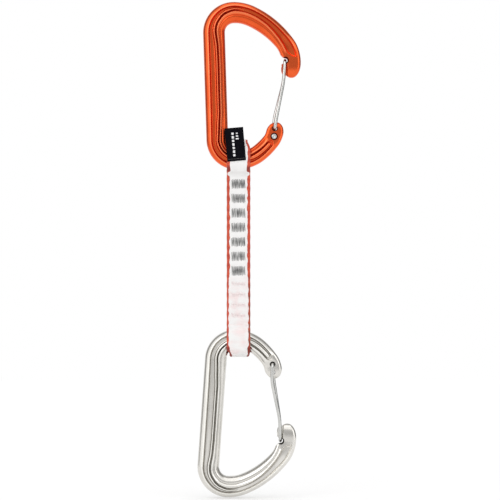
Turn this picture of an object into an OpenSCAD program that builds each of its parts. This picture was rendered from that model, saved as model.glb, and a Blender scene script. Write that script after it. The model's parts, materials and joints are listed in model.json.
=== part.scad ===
// Climbing quickdraw: two wire-gate carabiners joined by a short sewn sling.
// Millimetres. +Z up, -Y is the front face, origin at the basket seat of the top carabiner.

/* [Carabiner body] */
// Straight length of the spine
spine_len = 60.5; // [56:0.5:64]
// In-plane width of the spine
spine_w = 12.2; // [11.4:0.1:12.6]
// Centreline radius of the basket corner, where the rope or the hanger sits
basket_r = 11.1; // [10.6:0.1:11.6]
// In-plane width at the basket
basket_w = 11.9; // [11.4:0.1:12.2]
// In-plane width at the nose
nose_w = 11.4; // [11:0.1:11.8]
// Centreline radius of the small end, which carries the sling
small_r = 11.3; // [11:0.1:11.6]
// In-plane width of the bar at the small end
bar_w = 10; // [9.6:0.1:10.2]
// Thickness of the bar where rope and sling bear on it
bearing_t = 9.6; // [9:0.1:9.8]
// Thickness of the spine
spine_t = 8.6; // [8:0.1:9]
// Thickness of the nose
nose_t = 7.8; // [7.6:0.1:8]
// Thickness of the flat tail that holds the gate
tail_t = 6; // [5.8:0.1:6]
// Depth of the I-beam recess on each face
recess_d = 1.8; // [1:0.1:2.2]
// Thickness of the tongue that the closed gate straddles
tongue_t = 2.6; // [2.2:0.1:2.8]

/* [Wire gate] */
// Diameter of the gate wire
wire_d = 1.9; // [1.8:0.05:1.9]
// Opening angle of the gate
gate_open = 30; // [20:1:30]
// Radial running clearance of the pivot foot in its bore
pivot_clearance = 0.05; // [0.03:0.01:0.08]
// Diameter of the peened end of the pivot foot
peened_d = 2.9; // [2.6:0.1:3]

/* [Sling] */
// Outside length of the sling from loop to loop
sling_len = 121.8; // [118:0.1:140]
// Width of the tape
tape_w = 13.2; // [12.6:0.1:13.4]
// Thickness of one ply of the tape
ply_t = 1.5; // [1.4:0.1:1.6]
// Number of grey bar tacks
tack_count = 7; // [3:1:7]
// Distance between two grey tacks
tack_pitch = 8.1; // [7.6:0.1:8.2]
// Width of a bar tack
tack_w = 7.8; // [6:0.1:9]
// Height of a bar tack along the sling
tack_h = 5.4; // [4:0.1:6]

/* [Label] */
// Width of the woven label
label_w = 10.4; // [8:0.1:11]
// Height of the woven label
label_h = 18.6; // [14:0.1:19]
// Thickness of the woven label
label_t = 0.5; // [0.4:0.1:0.6]

/* [Hanging pose] */
// Lean of the top carabiner, small end to the right
top_lean = 1.8; // [0:0.1:2]
// Lean of the bottom carabiner, basket to the left
bottom_lean = 4.1; // [3.5:0.1:4.5]

/* [Hidden] */
eps = 0.01;

// ---- Centreline of the bar, in the carabiner's own plane: x to the gate side, z to the basket ----
// A stretch of centreline is [length, turn]; a clockwise turn is positive.
function arc(radius, turn) = [radius * abs(turn) * PI / 180, turn];
spine_foot = [-9.75, 6.5];
// From the foot of the spine up, round the basket and along the top bar to the nose.
nose_run = [[spine_len, 0], arc(basket_r, 90), arc(22, 26), arc(50, 28), arc(17.2, 35), [10, 1]];
// From the foot of the spine down, round the small end and up to the tail.
tail_run = [arc(small_r, -90), arc(20, -37), arc(40, -13), arc(11, -21), arc(23, -18)];
// [in-plane width, thickness, recess depth] at the start and at the end of each stretch.
nose_size = [[spine_w, spine_t, recess_d], [spine_w, spine_t, recess_d],
             [basket_w, bearing_t, recess_d], [11.5, bearing_t, recess_d],
             [10.5, 8.8, recess_d], [11, 8, 0], [nose_w, nose_t, 0]];
tail_size = [[spine_w, spine_t, recess_d], [bar_w, bearing_t, recess_d], [9.9, 8.2, recess_d / 2],
             [9.6, tail_t + 0.4, 0], [9.7, tail_t, 0], [10, tail_t, 0]];
// Rings drawn over each stretch, and the length of the rounded end.
nose_rings = [5, 12, 5, 7, 5, 9];
tail_rings = [12, 6, 3, 4, 9];
nose_round = 9.4;
tail_round = 6.2;
// Rings crowd towards a rounded end: they step evenly in this angle, whose sine is the share reached.
end_sweep = 84;

// Point reached from p = [x, z, heading] after one stretch or a share of it.
function advance(p, len, turn) =
    turn == 0 ? [p[0] + len * cos(p[2]), p[1] + len * sin(p[2]), p[2]]
    : let (r = len / (turn * PI / 180), h = p[2] - turn)
      [p[0] + r * (sin(p[2]) - sin(h)), p[1] + r * (cos(h) - cos(p[2])), h];
function joint_point(p, run, n) = n == 0 ? p
    : let (q = joint_point(p, run, n - 1)) advance(q, run[n - 1][0], run[n - 1][1]);
function run_length(run, n) = n == 0 ? 0 : run_length(run, n - 1) + run[n - 1][0];

// Stations [x, z, heading, width, thickness, recess] along a run. The last stretch ends in a rounded
// end whose width shrinks as an ellipse does and whose thickness stays fuller.
function stations(start, run, size, rings, round_len) =
    let (count = len(run), total = run_length(run, count))
    [for (i = [0 : count - 1])
        let (p = joint_point(start, run, i), last = i == count - 1, n = rings[i])
        for (k = [(i == 0 ? 0 : 1) : n])
            let (share = last ? sin(k / n * end_sweep) : k / n,
                 q = advance(p, run[i][0] * share, run[i][1] * share),
                 left = total - run_length(run, i) - run[i][0] * share,
                 x = left < round_len ? 1 - left / round_len : 0,
                 size_here = size[i] * (1 - share) + size[i + 1] * share)
            [q[0], q[1], q[2], size_here[0] * sqrt(1 - x * x),
             size_here[1] * sqrt(1 - pow(x, 4)), size_here[2]]];

// Solid skinned over two lists of rings, each ring turning the same way as seen from the start.
module skin(first, second) {
    rings = concat(first, second);
    size = len(rings[0]);
    count = len(rings);
    polyhedron(
        points = [for (r = rings) each r],
        faces = concat(
            [[for (i = [0 : size - 1]) i]],
            [for (k = [0 : count - 2], i = [0 : size - 1])
                let (a = k * size + i, b = k * size + (i + 1) % size) each
                [[a, a + size, b], [b, a + size, b + size]]],
            [[for (i = [size - 1 : -1 : 0]) (count - 1) * size + i]]));
}

// ---- Cross-section of the bar: [share of the width from the outer edge, recess share] ----
section = [[0.03, 0], [0.1, 0], [0.2, 0], [0.28, 0], [0.35, 0.85], [0.43, 1], [0.57, 1],
           [0.66, 0.85], [0.73, 0], [0.82, 0], [0.91, 0], [0.97, 0]];
roundness = 2.6;
function half_t(share, thickness) =
    thickness / 2 * pow(1 - pow(abs(2 * share - 1), roundness), 1 / roundness);
// One ring of points about a station. side is 1 on the nose run and -1 on the tail run.
function ring(st, side) =
    let (n = [-sin(st[2]), cos(st[2])] * side,
         spot = function (share, y) [st[0] + n[0] * st[3] * (0.5 - share), y,
                                     st[1] + n[1] * st[3] * (0.5 - share)],
         face = [for (s = section) [s[0], half_t(s[0], st[4]) - s[1] * st[5]]])
    concat([spot(0, 0)], [for (f = face) spot(f[0], -f[1])],
           [spot(1, 0)], [for (i = [len(face) - 1 : -1 : 0]) spot(face[i][0], face[i][1])]);

module bar() {
    nose = stations([spine_foot[0], spine_foot[1], 90], nose_run, nose_size, nose_rings, nose_round);
    tail = stations([spine_foot[0], spine_foot[1], -90], tail_run, tail_size, tail_rings, tail_round);
    skin([for (k = [len(tail) - 1 : -1 : 1]) ring(tail[k], -1)],
         [for (st = nose) ring(st, 1)]);
}

// ---- Gate: pivot foot P2, offset foot P1 and the wire's route between them ----
pivot = [22.1, 8];
foot = [22.6, 12.6];
foot_arm = norm(foot - pivot);
foot_angle = atan2(foot[1] - pivot[1], foot[0] - pivot[0]);
leg_y = tail_t / 2 + wire_d / 2 + 0.25;
end_y = tongue_t / 2 + wire_d / 2 + 0.4;
// The wire's pivot foot is swaged a little thicker, and upset behind the counterbore.
pin_d = wire_d + 0.1;
pin_inset = 0.5;
peened_h = 0.8;
peened_inset = 0.2;
bore_d = pin_d + 2 * pivot_clearance;
counterbore_d = peened_d + 1;
counterbore_h = 1.2;
slot_gap = 0.3;
foot_bend = 1.9;
mouth_d = 3.6;
mouth_h = 1;
// Depth that the offset foot stops short of the far face.
foot_inset = 0.4;
// The steps beside the tongue: their outer edge and their top.
step_x = 30.75;
step_top = 51.4;
step_size = [10, 16];
// The closed end of the wire lies this far from the step face.
end_x = step_x - wire_d / 2 - 0.35;
end_z = 50.3;

// Swept pocket of the offset foot: a banana slot about the pivot.
module foot_slot() {
    r_in = foot_arm - wire_d / 2 - slot_gap;
    r_out = foot_arm + wire_d / 2 + slot_gap;
    spare = asin((wire_d / 2 + slot_gap) / foot_arm);
    from = foot_angle - spare;
    to = foot_angle + gate_open + spare;
    translate([pivot[0], 0, pivot[1]]) rotate([90, 0, 0])
        linear_extrude(2 * tail_t, center = true)
            polygon(concat([for (k = [0 : 8]) let (a = from + (to - from) * k / 8) r_out * [cos(a), sin(a)]],
                           [for (k = [8 : -1 : 0]) let (a = from + (to - from) * k / 8)
                               r_in * [cos(a), sin(a)]]));
}

// Notch that takes the closed end of the wire, open to the inside of the carabiner.
module nose_notch() {
    rotate([90, 0, 0]) linear_extrude(2 * nose_t, center = true)
        polygon([[23, 58], [26.4, 54.5], [29.4, 51.7], [30.9, 51.6], [31.5, 50.8], [31.5, 48.9],
                 [29.4, 48.6], [27.9, 48.1], [26.6, 46.8], [23, 46]]);
}

// Steps beside the tongue, one on each face.
module tongue_steps() {
    for (side = [-1, 1])
        translate([step_x - step_size[0], side * (tongue_t / 2 + nose_t / 2) - nose_t / 2,
                   step_top - step_size[1]])
            cube([step_size[0], nose_t, step_size[1]]);
}

module carabiner_body() {
    difference() {
        bar();
        translate([pivot[0], 0, pivot[1]]) rotate([90, 0, 0])
            cylinder(h = 2 * tail_t, d = bore_d, center = true, $fn = 48);
        translate([pivot[0], counterbore_h - tail_t / 2, pivot[1]]) rotate([90, 0, 0])
            cylinder(h = tail_t, d = counterbore_d, $fn = 48);
        translate([pivot[0], tail_t / 2 - mouth_h, pivot[1]]) rotate([-90, 0, 0])
            cylinder(h = tail_t, d = mouth_d, $fn = 48);
        foot_slot();
        nose_notch();
        tongue_steps();
    }
}

// Corner of a route turned into a smooth bend that starts a distance d before the corner.
function bend(a, b, c, d) =
    let (p = b + (a - b) / norm(a - b) * d, q = b + (c - b) / norm(c - b) * d)
    [for (k = [0 : 4]) let (t = k / 4) p * (1 - t) * (1 - t) + b * 2 * t * (1 - t) + q * t * t];

// Corners of the wire as [point, bend distance], from inside the pivot foot to the offset foot.
route = [[[pivot[0], 1.2, pivot[1]], 0],
         [[pivot[0], leg_y, pivot[1]], foot_bend],
         [[22.3, leg_y, 17.5], 2.5],
         [[28.2, end_y + 0.5, 38], 3],
         [[end_x - 0.25, end_y, 46.5], 1],
         [[end_x, end_y, end_z], end_y * 0.99],
         [[end_x, -end_y, end_z], end_y * 0.99],
         [[end_x - 0.25, -end_y, 46.5], 1],
         [[28.2, -end_y - 0.5, 38], 3],
         [[23.7, -leg_y, 18.5], 2.5],
         [[foot[0], -leg_y, foot[1]], foot_bend],
         [[foot[0], tail_t / 2 - foot_inset, foot[1]], 0]];
wire_points = let (n = len(route) - 1)
    concat([route[0][0]],
           [for (k = [1 : n - 1]) each bend(route[k - 1][0], route[k][0], route[k + 1][0], route[k][1])],
           [route[n][0]]);

// Tube along a list of points, its rings carried without twist from one point to the next.
function unit(v) = v / norm(v);
function tangent(pts, k) = unit(pts[min(k + 1, len(pts) - 1)] - pts[max(k - 1, 0)]);
function carried(n, t) = unit(n - t * (n * t));
function frames(pts, k, n) = k == len(pts) ? []
    : let (m = carried(n, tangent(pts, k))) concat([m], frames(pts, k + 1, m));
module tube(pts, d, sides, first_normal) {
    normals = frames(pts, 0, first_normal);
    skin([], [for (k = [0 : len(pts) - 1])
        let (t = tangent(pts, k), n = normals[k], b = cross(t, n))
        [for (i = [0 : sides - 1]) pts[k] + d / 2 * (n * cos(360 * i / sides) + b * sin(360 * i / sides))]]);
}

module gate_wire() {
    pin_start = leg_y - foot_bend - 0.1;
    translate([pivot[0], pin_start, pivot[1]]) rotate([90, 0, 0])
        cylinder(h = pin_start + tail_t / 2 - pin_inset, d = pin_d, $fn = 48);
    translate([pivot[0], counterbore_h - peened_inset - tail_t / 2, pivot[1]]) rotate([90, 0, 0])
        cylinder(h = peened_h, d = peened_d, $fn = 48);
    tube(wire_points, wire_d, 10, [1, 0, 0]);
}

// ---- Where the two carabiners hang ----
seat = spine_foot + [small_r + 0.6, spine_len + basket_r - basket_w / 2 + 0.5];
bar_centre = [spine_foot[0] + small_r, spine_foot[1] - small_r];
top_rise = 11.85;
bottom_drop = 10.2;
bar_pitch = sling_len - top_rise - bottom_drop;
function lean(p, a) = [p[0] * cos(a) + p[1] * sin(a), -p[0] * sin(a) + p[1] * cos(a)];
top_bar = lean(bar_centre - seat, -top_lean);
bottom_bar = top_bar + [-0.3, -bar_pitch];
bottom_shift = bottom_bar - lean([bar_centre[0], -bar_centre[1]], bottom_lean);

module on_top() {
    rotate([0, -top_lean, 0]) translate([-seat[0], 0, -seat[1]]) children();
}
module on_bottom() {
    translate([bottom_shift[0], 0, bottom_shift[1]]) rotate([0, bottom_lean, 0])
        rotate([180, 0, 0]) children();
}

// ---- Sling ----
tape_x = top_bar[0] + 0.2;
bar_room = 0.6;
wrap_r = bearing_t / 2 + bar_room + ply_t / 2;
throat_drop = 8.4;
throat_web = 0.5;
top_inset = 1.2;
bottom_inset = 2;
joint_gap = 0.3;
throat_r = ply_t + joint_gap;
upper_joint = top_bar[1] - throat_drop - throat_r;
lower_joint = bottom_bar[1] + throat_drop + throat_r;
sewn_gap = 0.4;
tack_margin = 0.2;
sewn_end = upper_joint - tack_margin - tack_count * tack_pitch + 1.4;

// Middle line of a loop's tape in [y, z] about the bar's centre, throat at -Z, crown at +Z.
function loop_line(crown) =
    let (top = crown - ply_t / 2 - wrap_r,
         side = [[ply_t / 2 + 0.05, -throat_drop], [1.3, -throat_drop + 0.8], [2.6, -throat_drop + 1.9],
                 [4.1, -5.6], [5.4, -3.9], [wrap_r, -1.2]])
    concat([for (p = side) [-p[0], p[1]]],
           [for (a = [180 : -15 : 0]) [wrap_r * cos(a), top + wrap_r * sin(a)]],
           [for (k = [len(side) - 1 : -1 : 0]) side[k]]);
function line_normal(pts, k) =
    let (t = unit(pts[min(k + 1, len(pts) - 1)] - pts[max(k - 1, 0)])) [-t[1], t[0]];
// Outline of a loop's line moved outwards by d and closed flat at the throat.
module loop_outline(pts, d) {
    last = len(pts) - 1;
    polygon(concat([[-ply_t / 2 - 0.05 - d, pts[0][1]]],
                   [for (k = [1 : last - 1]) pts[k] + line_normal(pts, k) * d],
                   [[ply_t / 2 + 0.05 + d, pts[last][1]]]));
}
// Flat shape in [y, z] drawn out to a width along X, about x = 0.
module across(width) {
    rotate([90, 0, 90]) translate([0, 0, -width / 2]) linear_extrude(width) children();
}
// Loop of tape; inset narrows its crown on the spine side, where it lies inside the carabiner.
module loop_tape(crown, inset) {
    difference() {
        across(tape_w) difference() {
            loop_outline(loop_line(crown), ply_t / 2);
            intersection() {
                loop_outline(loop_line(crown), -ply_t / 2);
                translate([-crown, throat_web - throat_drop]) square(3 * crown);
            }
        }
        translate([-tape_w / 2 - 1, -wrap_r + ply_t / 2 + eps, 1])
            cube([1 + inset, 2 * wrap_r - ply_t - 2 * eps, 20]);
    }
}

// One ply between two heights; a free end that faces a bend joint is a quarter round.
module ply(top, bottom, side, round_top, round_bottom) {
    across(tape_w) scale([side, 1]) union() {
        translate([0, bottom]) square([ply_t, top - bottom]);
        if (round_top) translate([0, top]) intersection() {
            circle(r = ply_t, $fn = 40);
            translate([0, -eps]) square(ply_t + 1);
        }
        if (round_bottom) translate([0, bottom]) intersection() {
            circle(r = ply_t, $fn = 40);
            translate([0, -ply_t - 1 + eps]) square(ply_t + 1);
        }
    }
}

// A bar tack: a pad of thread on each face of the sewn plies.
module tack(height, pad_t) {
    for (side = [-1, 1])
        translate([-tack_w / 2, side * (ply_t + pad_t / 2) - pad_t / 2, -height / 2])
            cube([tack_w, pad_t, height]);
}
first_tack = upper_joint - tack_h / 2 - tack_margin;
thread_t = 0.25;
pale_tack_count = 4;
pale_tack_h = 2.4;
pale_tack_pitch = (sewn_end - sewn_gap - lower_joint) / pale_tack_count;

module top_body() { color("orangered") on_top() carabiner_body(); }
module top_gate_wire() { color("silver") on_top() gate_wire(); }
module bottom_body() { color("lightgray") on_bottom() carabiner_body(); }
module bottom_gate_wire() { color("silver") on_bottom() gate_wire(); }
module top_loop_tape() {
    color("whitesmoke") translate([tape_x, 0, top_bar[1]]) loop_tape(top_rise, top_inset);
}
module bottom_loop_tape() {
    color("mistyrose") translate([tape_x, 0, bottom_bar[1]]) mirror([0, 0, 1])
        loop_tape(bottom_drop, bottom_inset);
}
module upper_front_ply() {
    color("white") translate([tape_x, 0, 0]) ply(upper_joint, sewn_end, -1, true, false);
}
module upper_back_ply() {
    color("snow") translate([tape_x, 0, 0]) ply(upper_joint, sewn_end, 1, true, false);
}
module lower_front_ply() {
    color("white") translate([tape_x, 0, 0]) ply(sewn_end - sewn_gap, lower_joint, -1, false, true);
}
module lower_back_ply() {
    color("snow") translate([tape_x, 0, 0]) ply(sewn_end - sewn_gap, lower_joint, 1, false, true);
}
module grey_bar_tacks() {
    color("dimgray") for (k = [0 : tack_count - 1])
        translate([tape_x, 0, first_tack - k * tack_pitch]) tack(tack_h, thread_t);
}
module pale_bar_tacks() {
    color("linen") for (k = [0 : pale_tack_count - 1])
        translate([tape_x, 0, sewn_end - sewn_gap - (k + 0.5) * pale_tack_pitch]) tack(pale_tack_h, thread_t);
}

// Label: a stiff woven tab sewn by its lower edge on the front of the top loop.
label_y = -wrap_r - ply_t / 2;
label_foot = [tape_x - 1, top_bar[1] - 0.4];
label_lean = 5;
module on_label() {
    translate([label_foot[0], label_y, label_foot[1]]) rotate([0, -label_lean, 0]) children();
}
module woven_label() {
    color("black") on_label() translate([-label_w / 2, -label_t, 0]) cube([label_w, label_t, label_h]);
}
stitch_count = 6;
stitch_size = [1.1, 0.3, 0.4];
stitch_row = 1.2;
stitch_pitch = label_w / (stitch_count + 0.6);
module label_stitches() {
    color("gray") on_label() for (k = [0 : stitch_count - 1])
        translate([(k + 0.5 - stitch_count / 2) * stitch_pitch, -label_t - stitch_size[1] / 2, stitch_row])
            cube(stitch_size, center = true);
}

top_body();
top_gate_wire();
top_loop_tape();
woven_label();
label_stitches();
upper_front_ply();
upper_back_ply();
grey_bar_tacks();
lower_front_ply();
lower_back_ply();
pale_bar_tacks();
bottom_loop_tape();
bottom_body();
bottom_gate_wire();
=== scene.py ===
"""Looks of a climbing quickdraw: two wire-gate carabiners joined by a short sewn sling.

Metres, +Z up, -Y is the front face. Lengths inside the classes are millimetres and are turned to metres
when a mesh is made.
"""

import json
import logging
import math
import random
from dataclasses import dataclass, field
from enum import Enum

import bmesh
import bpy
import numpy as np
from mathutils import Matrix, Vector

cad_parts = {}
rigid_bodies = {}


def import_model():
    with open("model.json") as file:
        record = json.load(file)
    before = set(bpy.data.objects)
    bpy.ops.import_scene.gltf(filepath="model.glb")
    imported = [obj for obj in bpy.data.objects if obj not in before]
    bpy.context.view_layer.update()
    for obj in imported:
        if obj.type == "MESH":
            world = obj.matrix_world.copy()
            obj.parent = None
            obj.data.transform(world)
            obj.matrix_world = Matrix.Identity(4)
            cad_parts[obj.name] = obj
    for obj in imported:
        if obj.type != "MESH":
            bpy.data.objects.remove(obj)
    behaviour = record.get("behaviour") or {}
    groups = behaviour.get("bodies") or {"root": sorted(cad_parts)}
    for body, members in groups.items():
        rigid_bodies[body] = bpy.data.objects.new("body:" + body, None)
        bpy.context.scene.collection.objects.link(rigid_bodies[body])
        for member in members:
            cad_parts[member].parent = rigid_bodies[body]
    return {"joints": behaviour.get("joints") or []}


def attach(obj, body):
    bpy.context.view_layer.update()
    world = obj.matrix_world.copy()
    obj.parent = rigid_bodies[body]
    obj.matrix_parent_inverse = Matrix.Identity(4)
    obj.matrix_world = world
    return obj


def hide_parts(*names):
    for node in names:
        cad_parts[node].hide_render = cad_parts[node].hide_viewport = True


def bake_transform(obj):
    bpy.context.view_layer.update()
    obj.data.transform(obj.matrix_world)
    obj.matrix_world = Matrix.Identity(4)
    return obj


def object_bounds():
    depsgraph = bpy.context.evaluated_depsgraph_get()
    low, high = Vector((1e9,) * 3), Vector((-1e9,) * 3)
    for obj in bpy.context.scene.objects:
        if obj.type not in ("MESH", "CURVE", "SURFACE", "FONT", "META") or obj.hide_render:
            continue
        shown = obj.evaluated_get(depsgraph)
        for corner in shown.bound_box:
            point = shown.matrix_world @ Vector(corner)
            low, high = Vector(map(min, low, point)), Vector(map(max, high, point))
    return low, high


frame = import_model()
CAD_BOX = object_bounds()

MM = 0.001
SMOOTH_ANGLE = 38.0
FORGED_ANGLE = 75.0
LOOP_PITCH = 0.7
# The second slot is a near-black copy of the metal, painted shade on the walls of bores and pockets.
FORGED, SHADED, CUT = range(3)
THREAD_ANGLE = 80.0
WHITE = (1.0, 1.0, 1.0, 1.0)
log = logging.getLogger("quickdraw")

Colour = tuple[float, float, float]
Pair = tuple[float, float]
Faces = list[tuple[int, ...]]
Solid = tuple[np.ndarray, Faces]
Socket = bpy.types.NodeSocket


# ---------------------------------------------------------------- small geometry helpers


def unit(v: np.ndarray) -> np.ndarray:
    """The vector at length one."""
    return v / max(float(np.linalg.norm(v)), 1e-12)


def smoothstep(t: np.ndarray) -> np.ndarray:
    """Eased ramp from 0 to 1.

    Args:
        t: Position on the ramp, clipped to 0..1.

    Returns:
        The eased value, same shape.
    """
    t = np.clip(t, 0.0, 1.0)
    return t * t * (3 - 2 * t)


def eased(t: float) -> float:
    """Eased ramp from 0 to 1 of one number."""
    return float(smoothstep(np.array(t)))


def strip_faces(count: int, size: int) -> Faces:
    """Quads between consecutive closed rings of points.

    Args:
        count: Number of rings.
        size: Points in each ring.

    Returns:
        Faces as tuples of point numbers.
    """
    return [
        (k * size + i, k * size + (i + 1) % size, (k + 1) * size + (i + 1) % size, (k + 1) * size + i)
        for k in range(count - 1)
        for i in range(size)
    ]


def capped_rings(rings: np.ndarray) -> Solid:
    """Closed skin over a row of rings.

    Args:
        rings: Array of shape (rings, points, 3).

    Returns:
        Points and faces, with one cap at each end.
    """
    count, size, _ = rings.shape
    faces = strip_faces(count, size)
    faces.append(tuple(range(size - 1, -1, -1)))
    faces.append(tuple((count - 1) * size + i for i in range(size)))
    points = rings.reshape(-1, 3)
    return points, outward(points, faces)


def outward(points: np.ndarray, faces: Faces) -> Faces:
    """The faces of one closed solid, turned to face out of it.

    Args:
        points: The solid's points.
        faces: Its faces, all turned the same way.

    Returns:
        The faces, each reversed where the solid was inside out.
    """
    volume = 0.0
    for size in {len(face) for face in faces}:
        corners = points[np.array([face for face in faces if len(face) == size])]
        for k in range(1, size - 1):
            volume += float(np.sum(corners[:, 0] * np.cross(corners[:, k], corners[:, k + 1])))
    return faces if volume > 0 else [face[::-1] for face in faces]


def joined(solids: list[Solid]) -> Solid:
    """Several closed solids as one set of points and faces.

    Args:
        solids: The solids.

    Returns:
        Their points and their renumbered faces.
    """
    points, faces, start = [], [], 0
    for solid_points, solid_faces in solids:
        faces += [tuple(i + start for i in face) for face in solid_faces]
        points.append(solid_points)
        start += len(solid_points)
    return np.concatenate(points), faces


def make_piece(
    name: str,
    points: np.ndarray,
    faces: Faces,
    place: Matrix = Matrix.Identity(4),
    uv: np.ndarray | None = None,
    angle: float = SMOOTH_ANGLE,
    uv_map: str = "Cloth",
) -> bpy.types.Object:
    """A mesh object in metres from points in millimetres.

    Args:
        name: The piece's name.
        points: Points in millimetres, shape (n, 3).
        faces: Faces as point numbers.
        place: Where the points' own frame stands in the object's frame, in millimetres.
        uv: One (u, v) for each point.
        angle: Edges sharper than this, in degrees, stay crisp.
        uv_map: Name of the map that keeps uv.

    Returns:
        The new object.
    """
    rotation = np.array(place.to_3x3())
    shift = np.array(place.translation)
    placed = (np.asarray(points) @ rotation.T + shift) * MM
    mesh = bpy.data.meshes.new(name)
    mesh.from_pydata(placed.tolist(), [], faces)
    mesh.update()
    if uv is not None:
        layer = mesh.uv_layers.new(name=uv_map)
        corners = np.zeros(len(mesh.loops), np.int32)
        mesh.loops.foreach_get("vertex_index", corners)
        layer.data.foreach_set("uv", np.asarray(uv, np.float32)[corners].ravel())
    soften(mesh, angle)
    piece = bpy.data.objects.new(name, mesh)
    bpy.context.scene.collection.objects.link(piece)
    return piece


def soften(mesh: bpy.types.Mesh, angle: float) -> None:
    """Smooth shading with crisp edges.

    Args:
        mesh: The mesh.
        angle: Edges sharper than this, in degrees, stay crisp.
    """
    mesh.polygons.foreach_set("use_smooth", [True] * len(mesh.polygons))
    mesh.set_sharp_from_angle(angle=math.radians(angle))
    mesh.update()


def swept_rings(path: np.ndarray, radius: float, sides: int, first: np.ndarray) -> np.ndarray:
    """Rings of a round tube carried along a path without twist.

    Args:
        path: Points of the centreline, shape (n, 3).
        radius: Radius of the tube.
        sides: Points round each ring.
        first: A direction that the first ring's first point leans to.

    Returns:
        Array of shape (n, sides, 3).
    """
    turns = np.linspace(0, 2 * math.pi, sides, endpoint=False)
    normal = first
    rings = []
    for k in range(len(path)):
        tangent = unit(path[min(k + 1, len(path) - 1)] - path[max(k - 1, 0)])
        normal = unit(normal - tangent * float(normal @ tangent))
        side = np.cross(tangent, normal)
        rings.append(path[k] + radius * (np.outer(np.cos(turns), normal) + np.outer(np.sin(turns), side)))
    return np.array(rings)


def rounded_route(corners: list[tuple[tuple[float, float, float], float]], steps: int) -> np.ndarray:
    """Corners of a bent wire turned into a smooth line.

    Args:
        corners: Each corner and how far from it the bend starts.
        steps: Steps in each bend.

    Returns:
        Points of the line.
    """
    points = [np.array(c[0], float) for c in corners]
    line = [points[0]]
    for k in range(1, len(points) - 1):
        before = points[k] + unit(points[k - 1] - points[k]) * corners[k][1]
        after = points[k] + unit(points[k + 1] - points[k]) * corners[k][1]
        for t in np.linspace(0, 1, steps + 1):
            line.append(before * (1 - t) ** 2 + points[k] * 2 * t * (1 - t) + after * t * t)
    line.append(points[-1])
    return np.array(line)


def resampled(line: np.ndarray, pitch: float) -> np.ndarray:
    """The same line with points an even distance apart.

    Args:
        line: Points of the line, shape (n, d).
        pitch: Wanted distance between points.

    Returns:
        The new points, with both ends kept.
    """
    along = np.concatenate([[0], np.cumsum(np.linalg.norm(np.diff(line, axis=0), axis=1))])
    count = max(2, int(round(along[-1] / pitch)) + 1)
    wanted = np.linspace(0, along[-1], count)
    return np.stack([np.interp(wanted, along, line[:, d]) for d in range(line.shape[1])], axis=1)


def lathe(profile: list[Pair], sides: int = 40) -> Solid:
    """A solid turned about the Y axis.

    Args:
        profile: (radius, y) from one end to the other; the ends are closed flat.
        sides: Points round the solid.

    Returns:
        Points and faces.
    """
    turns = np.linspace(0, 2 * math.pi, sides, endpoint=False)
    rings = np.array([[(r * math.cos(a), y, r * math.sin(a)) for a in turns] for r, y in profile])
    return capped_rings(rings)


def stitching(
    name: str,
    strokes: list[tuple[np.ndarray, float]],
    radius: float,
    sides: int,
    lean: tuple[float, float, float],
    place: Matrix = Matrix.Identity(4),
) -> bpy.types.Object:
    """Many short strokes of thread as one piece.

    Args:
        name: The piece's name.
        strokes: Each stroke's centreline and its own shade from 0 to 1.
        radius: Radius of the thread.
        sides: Points round the thread.
        lean: A direction square to the strokes.
        place: Where the strokes' own frame stands, in millimetres.

    Returns:
        The piece, with the shade and the distance along each stroke in its weave coordinates.
    """
    solids = [capped_rings(swept_rings(path, radius, sides, np.array(lean))) for path, _ in strokes]
    axis = 2 if lean[0] else 0
    uv = [
        np.stack([np.full(len(points), shade), points[:, axis]], axis=1)
        for (points, _), (_, shade) in zip(solids, strokes)
    ]
    return make_piece(name, *joined(solids), place, np.concatenate(uv), THREAD_ANGLE)


def report(*pieces: bpy.types.Object) -> None:
    """Logs each piece's name and size."""
    for piece in pieces:
        log.info("%s: %d faces", piece.name, len(piece.data.polygons))


# ---------------------------------------------------------------- shader groups


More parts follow.
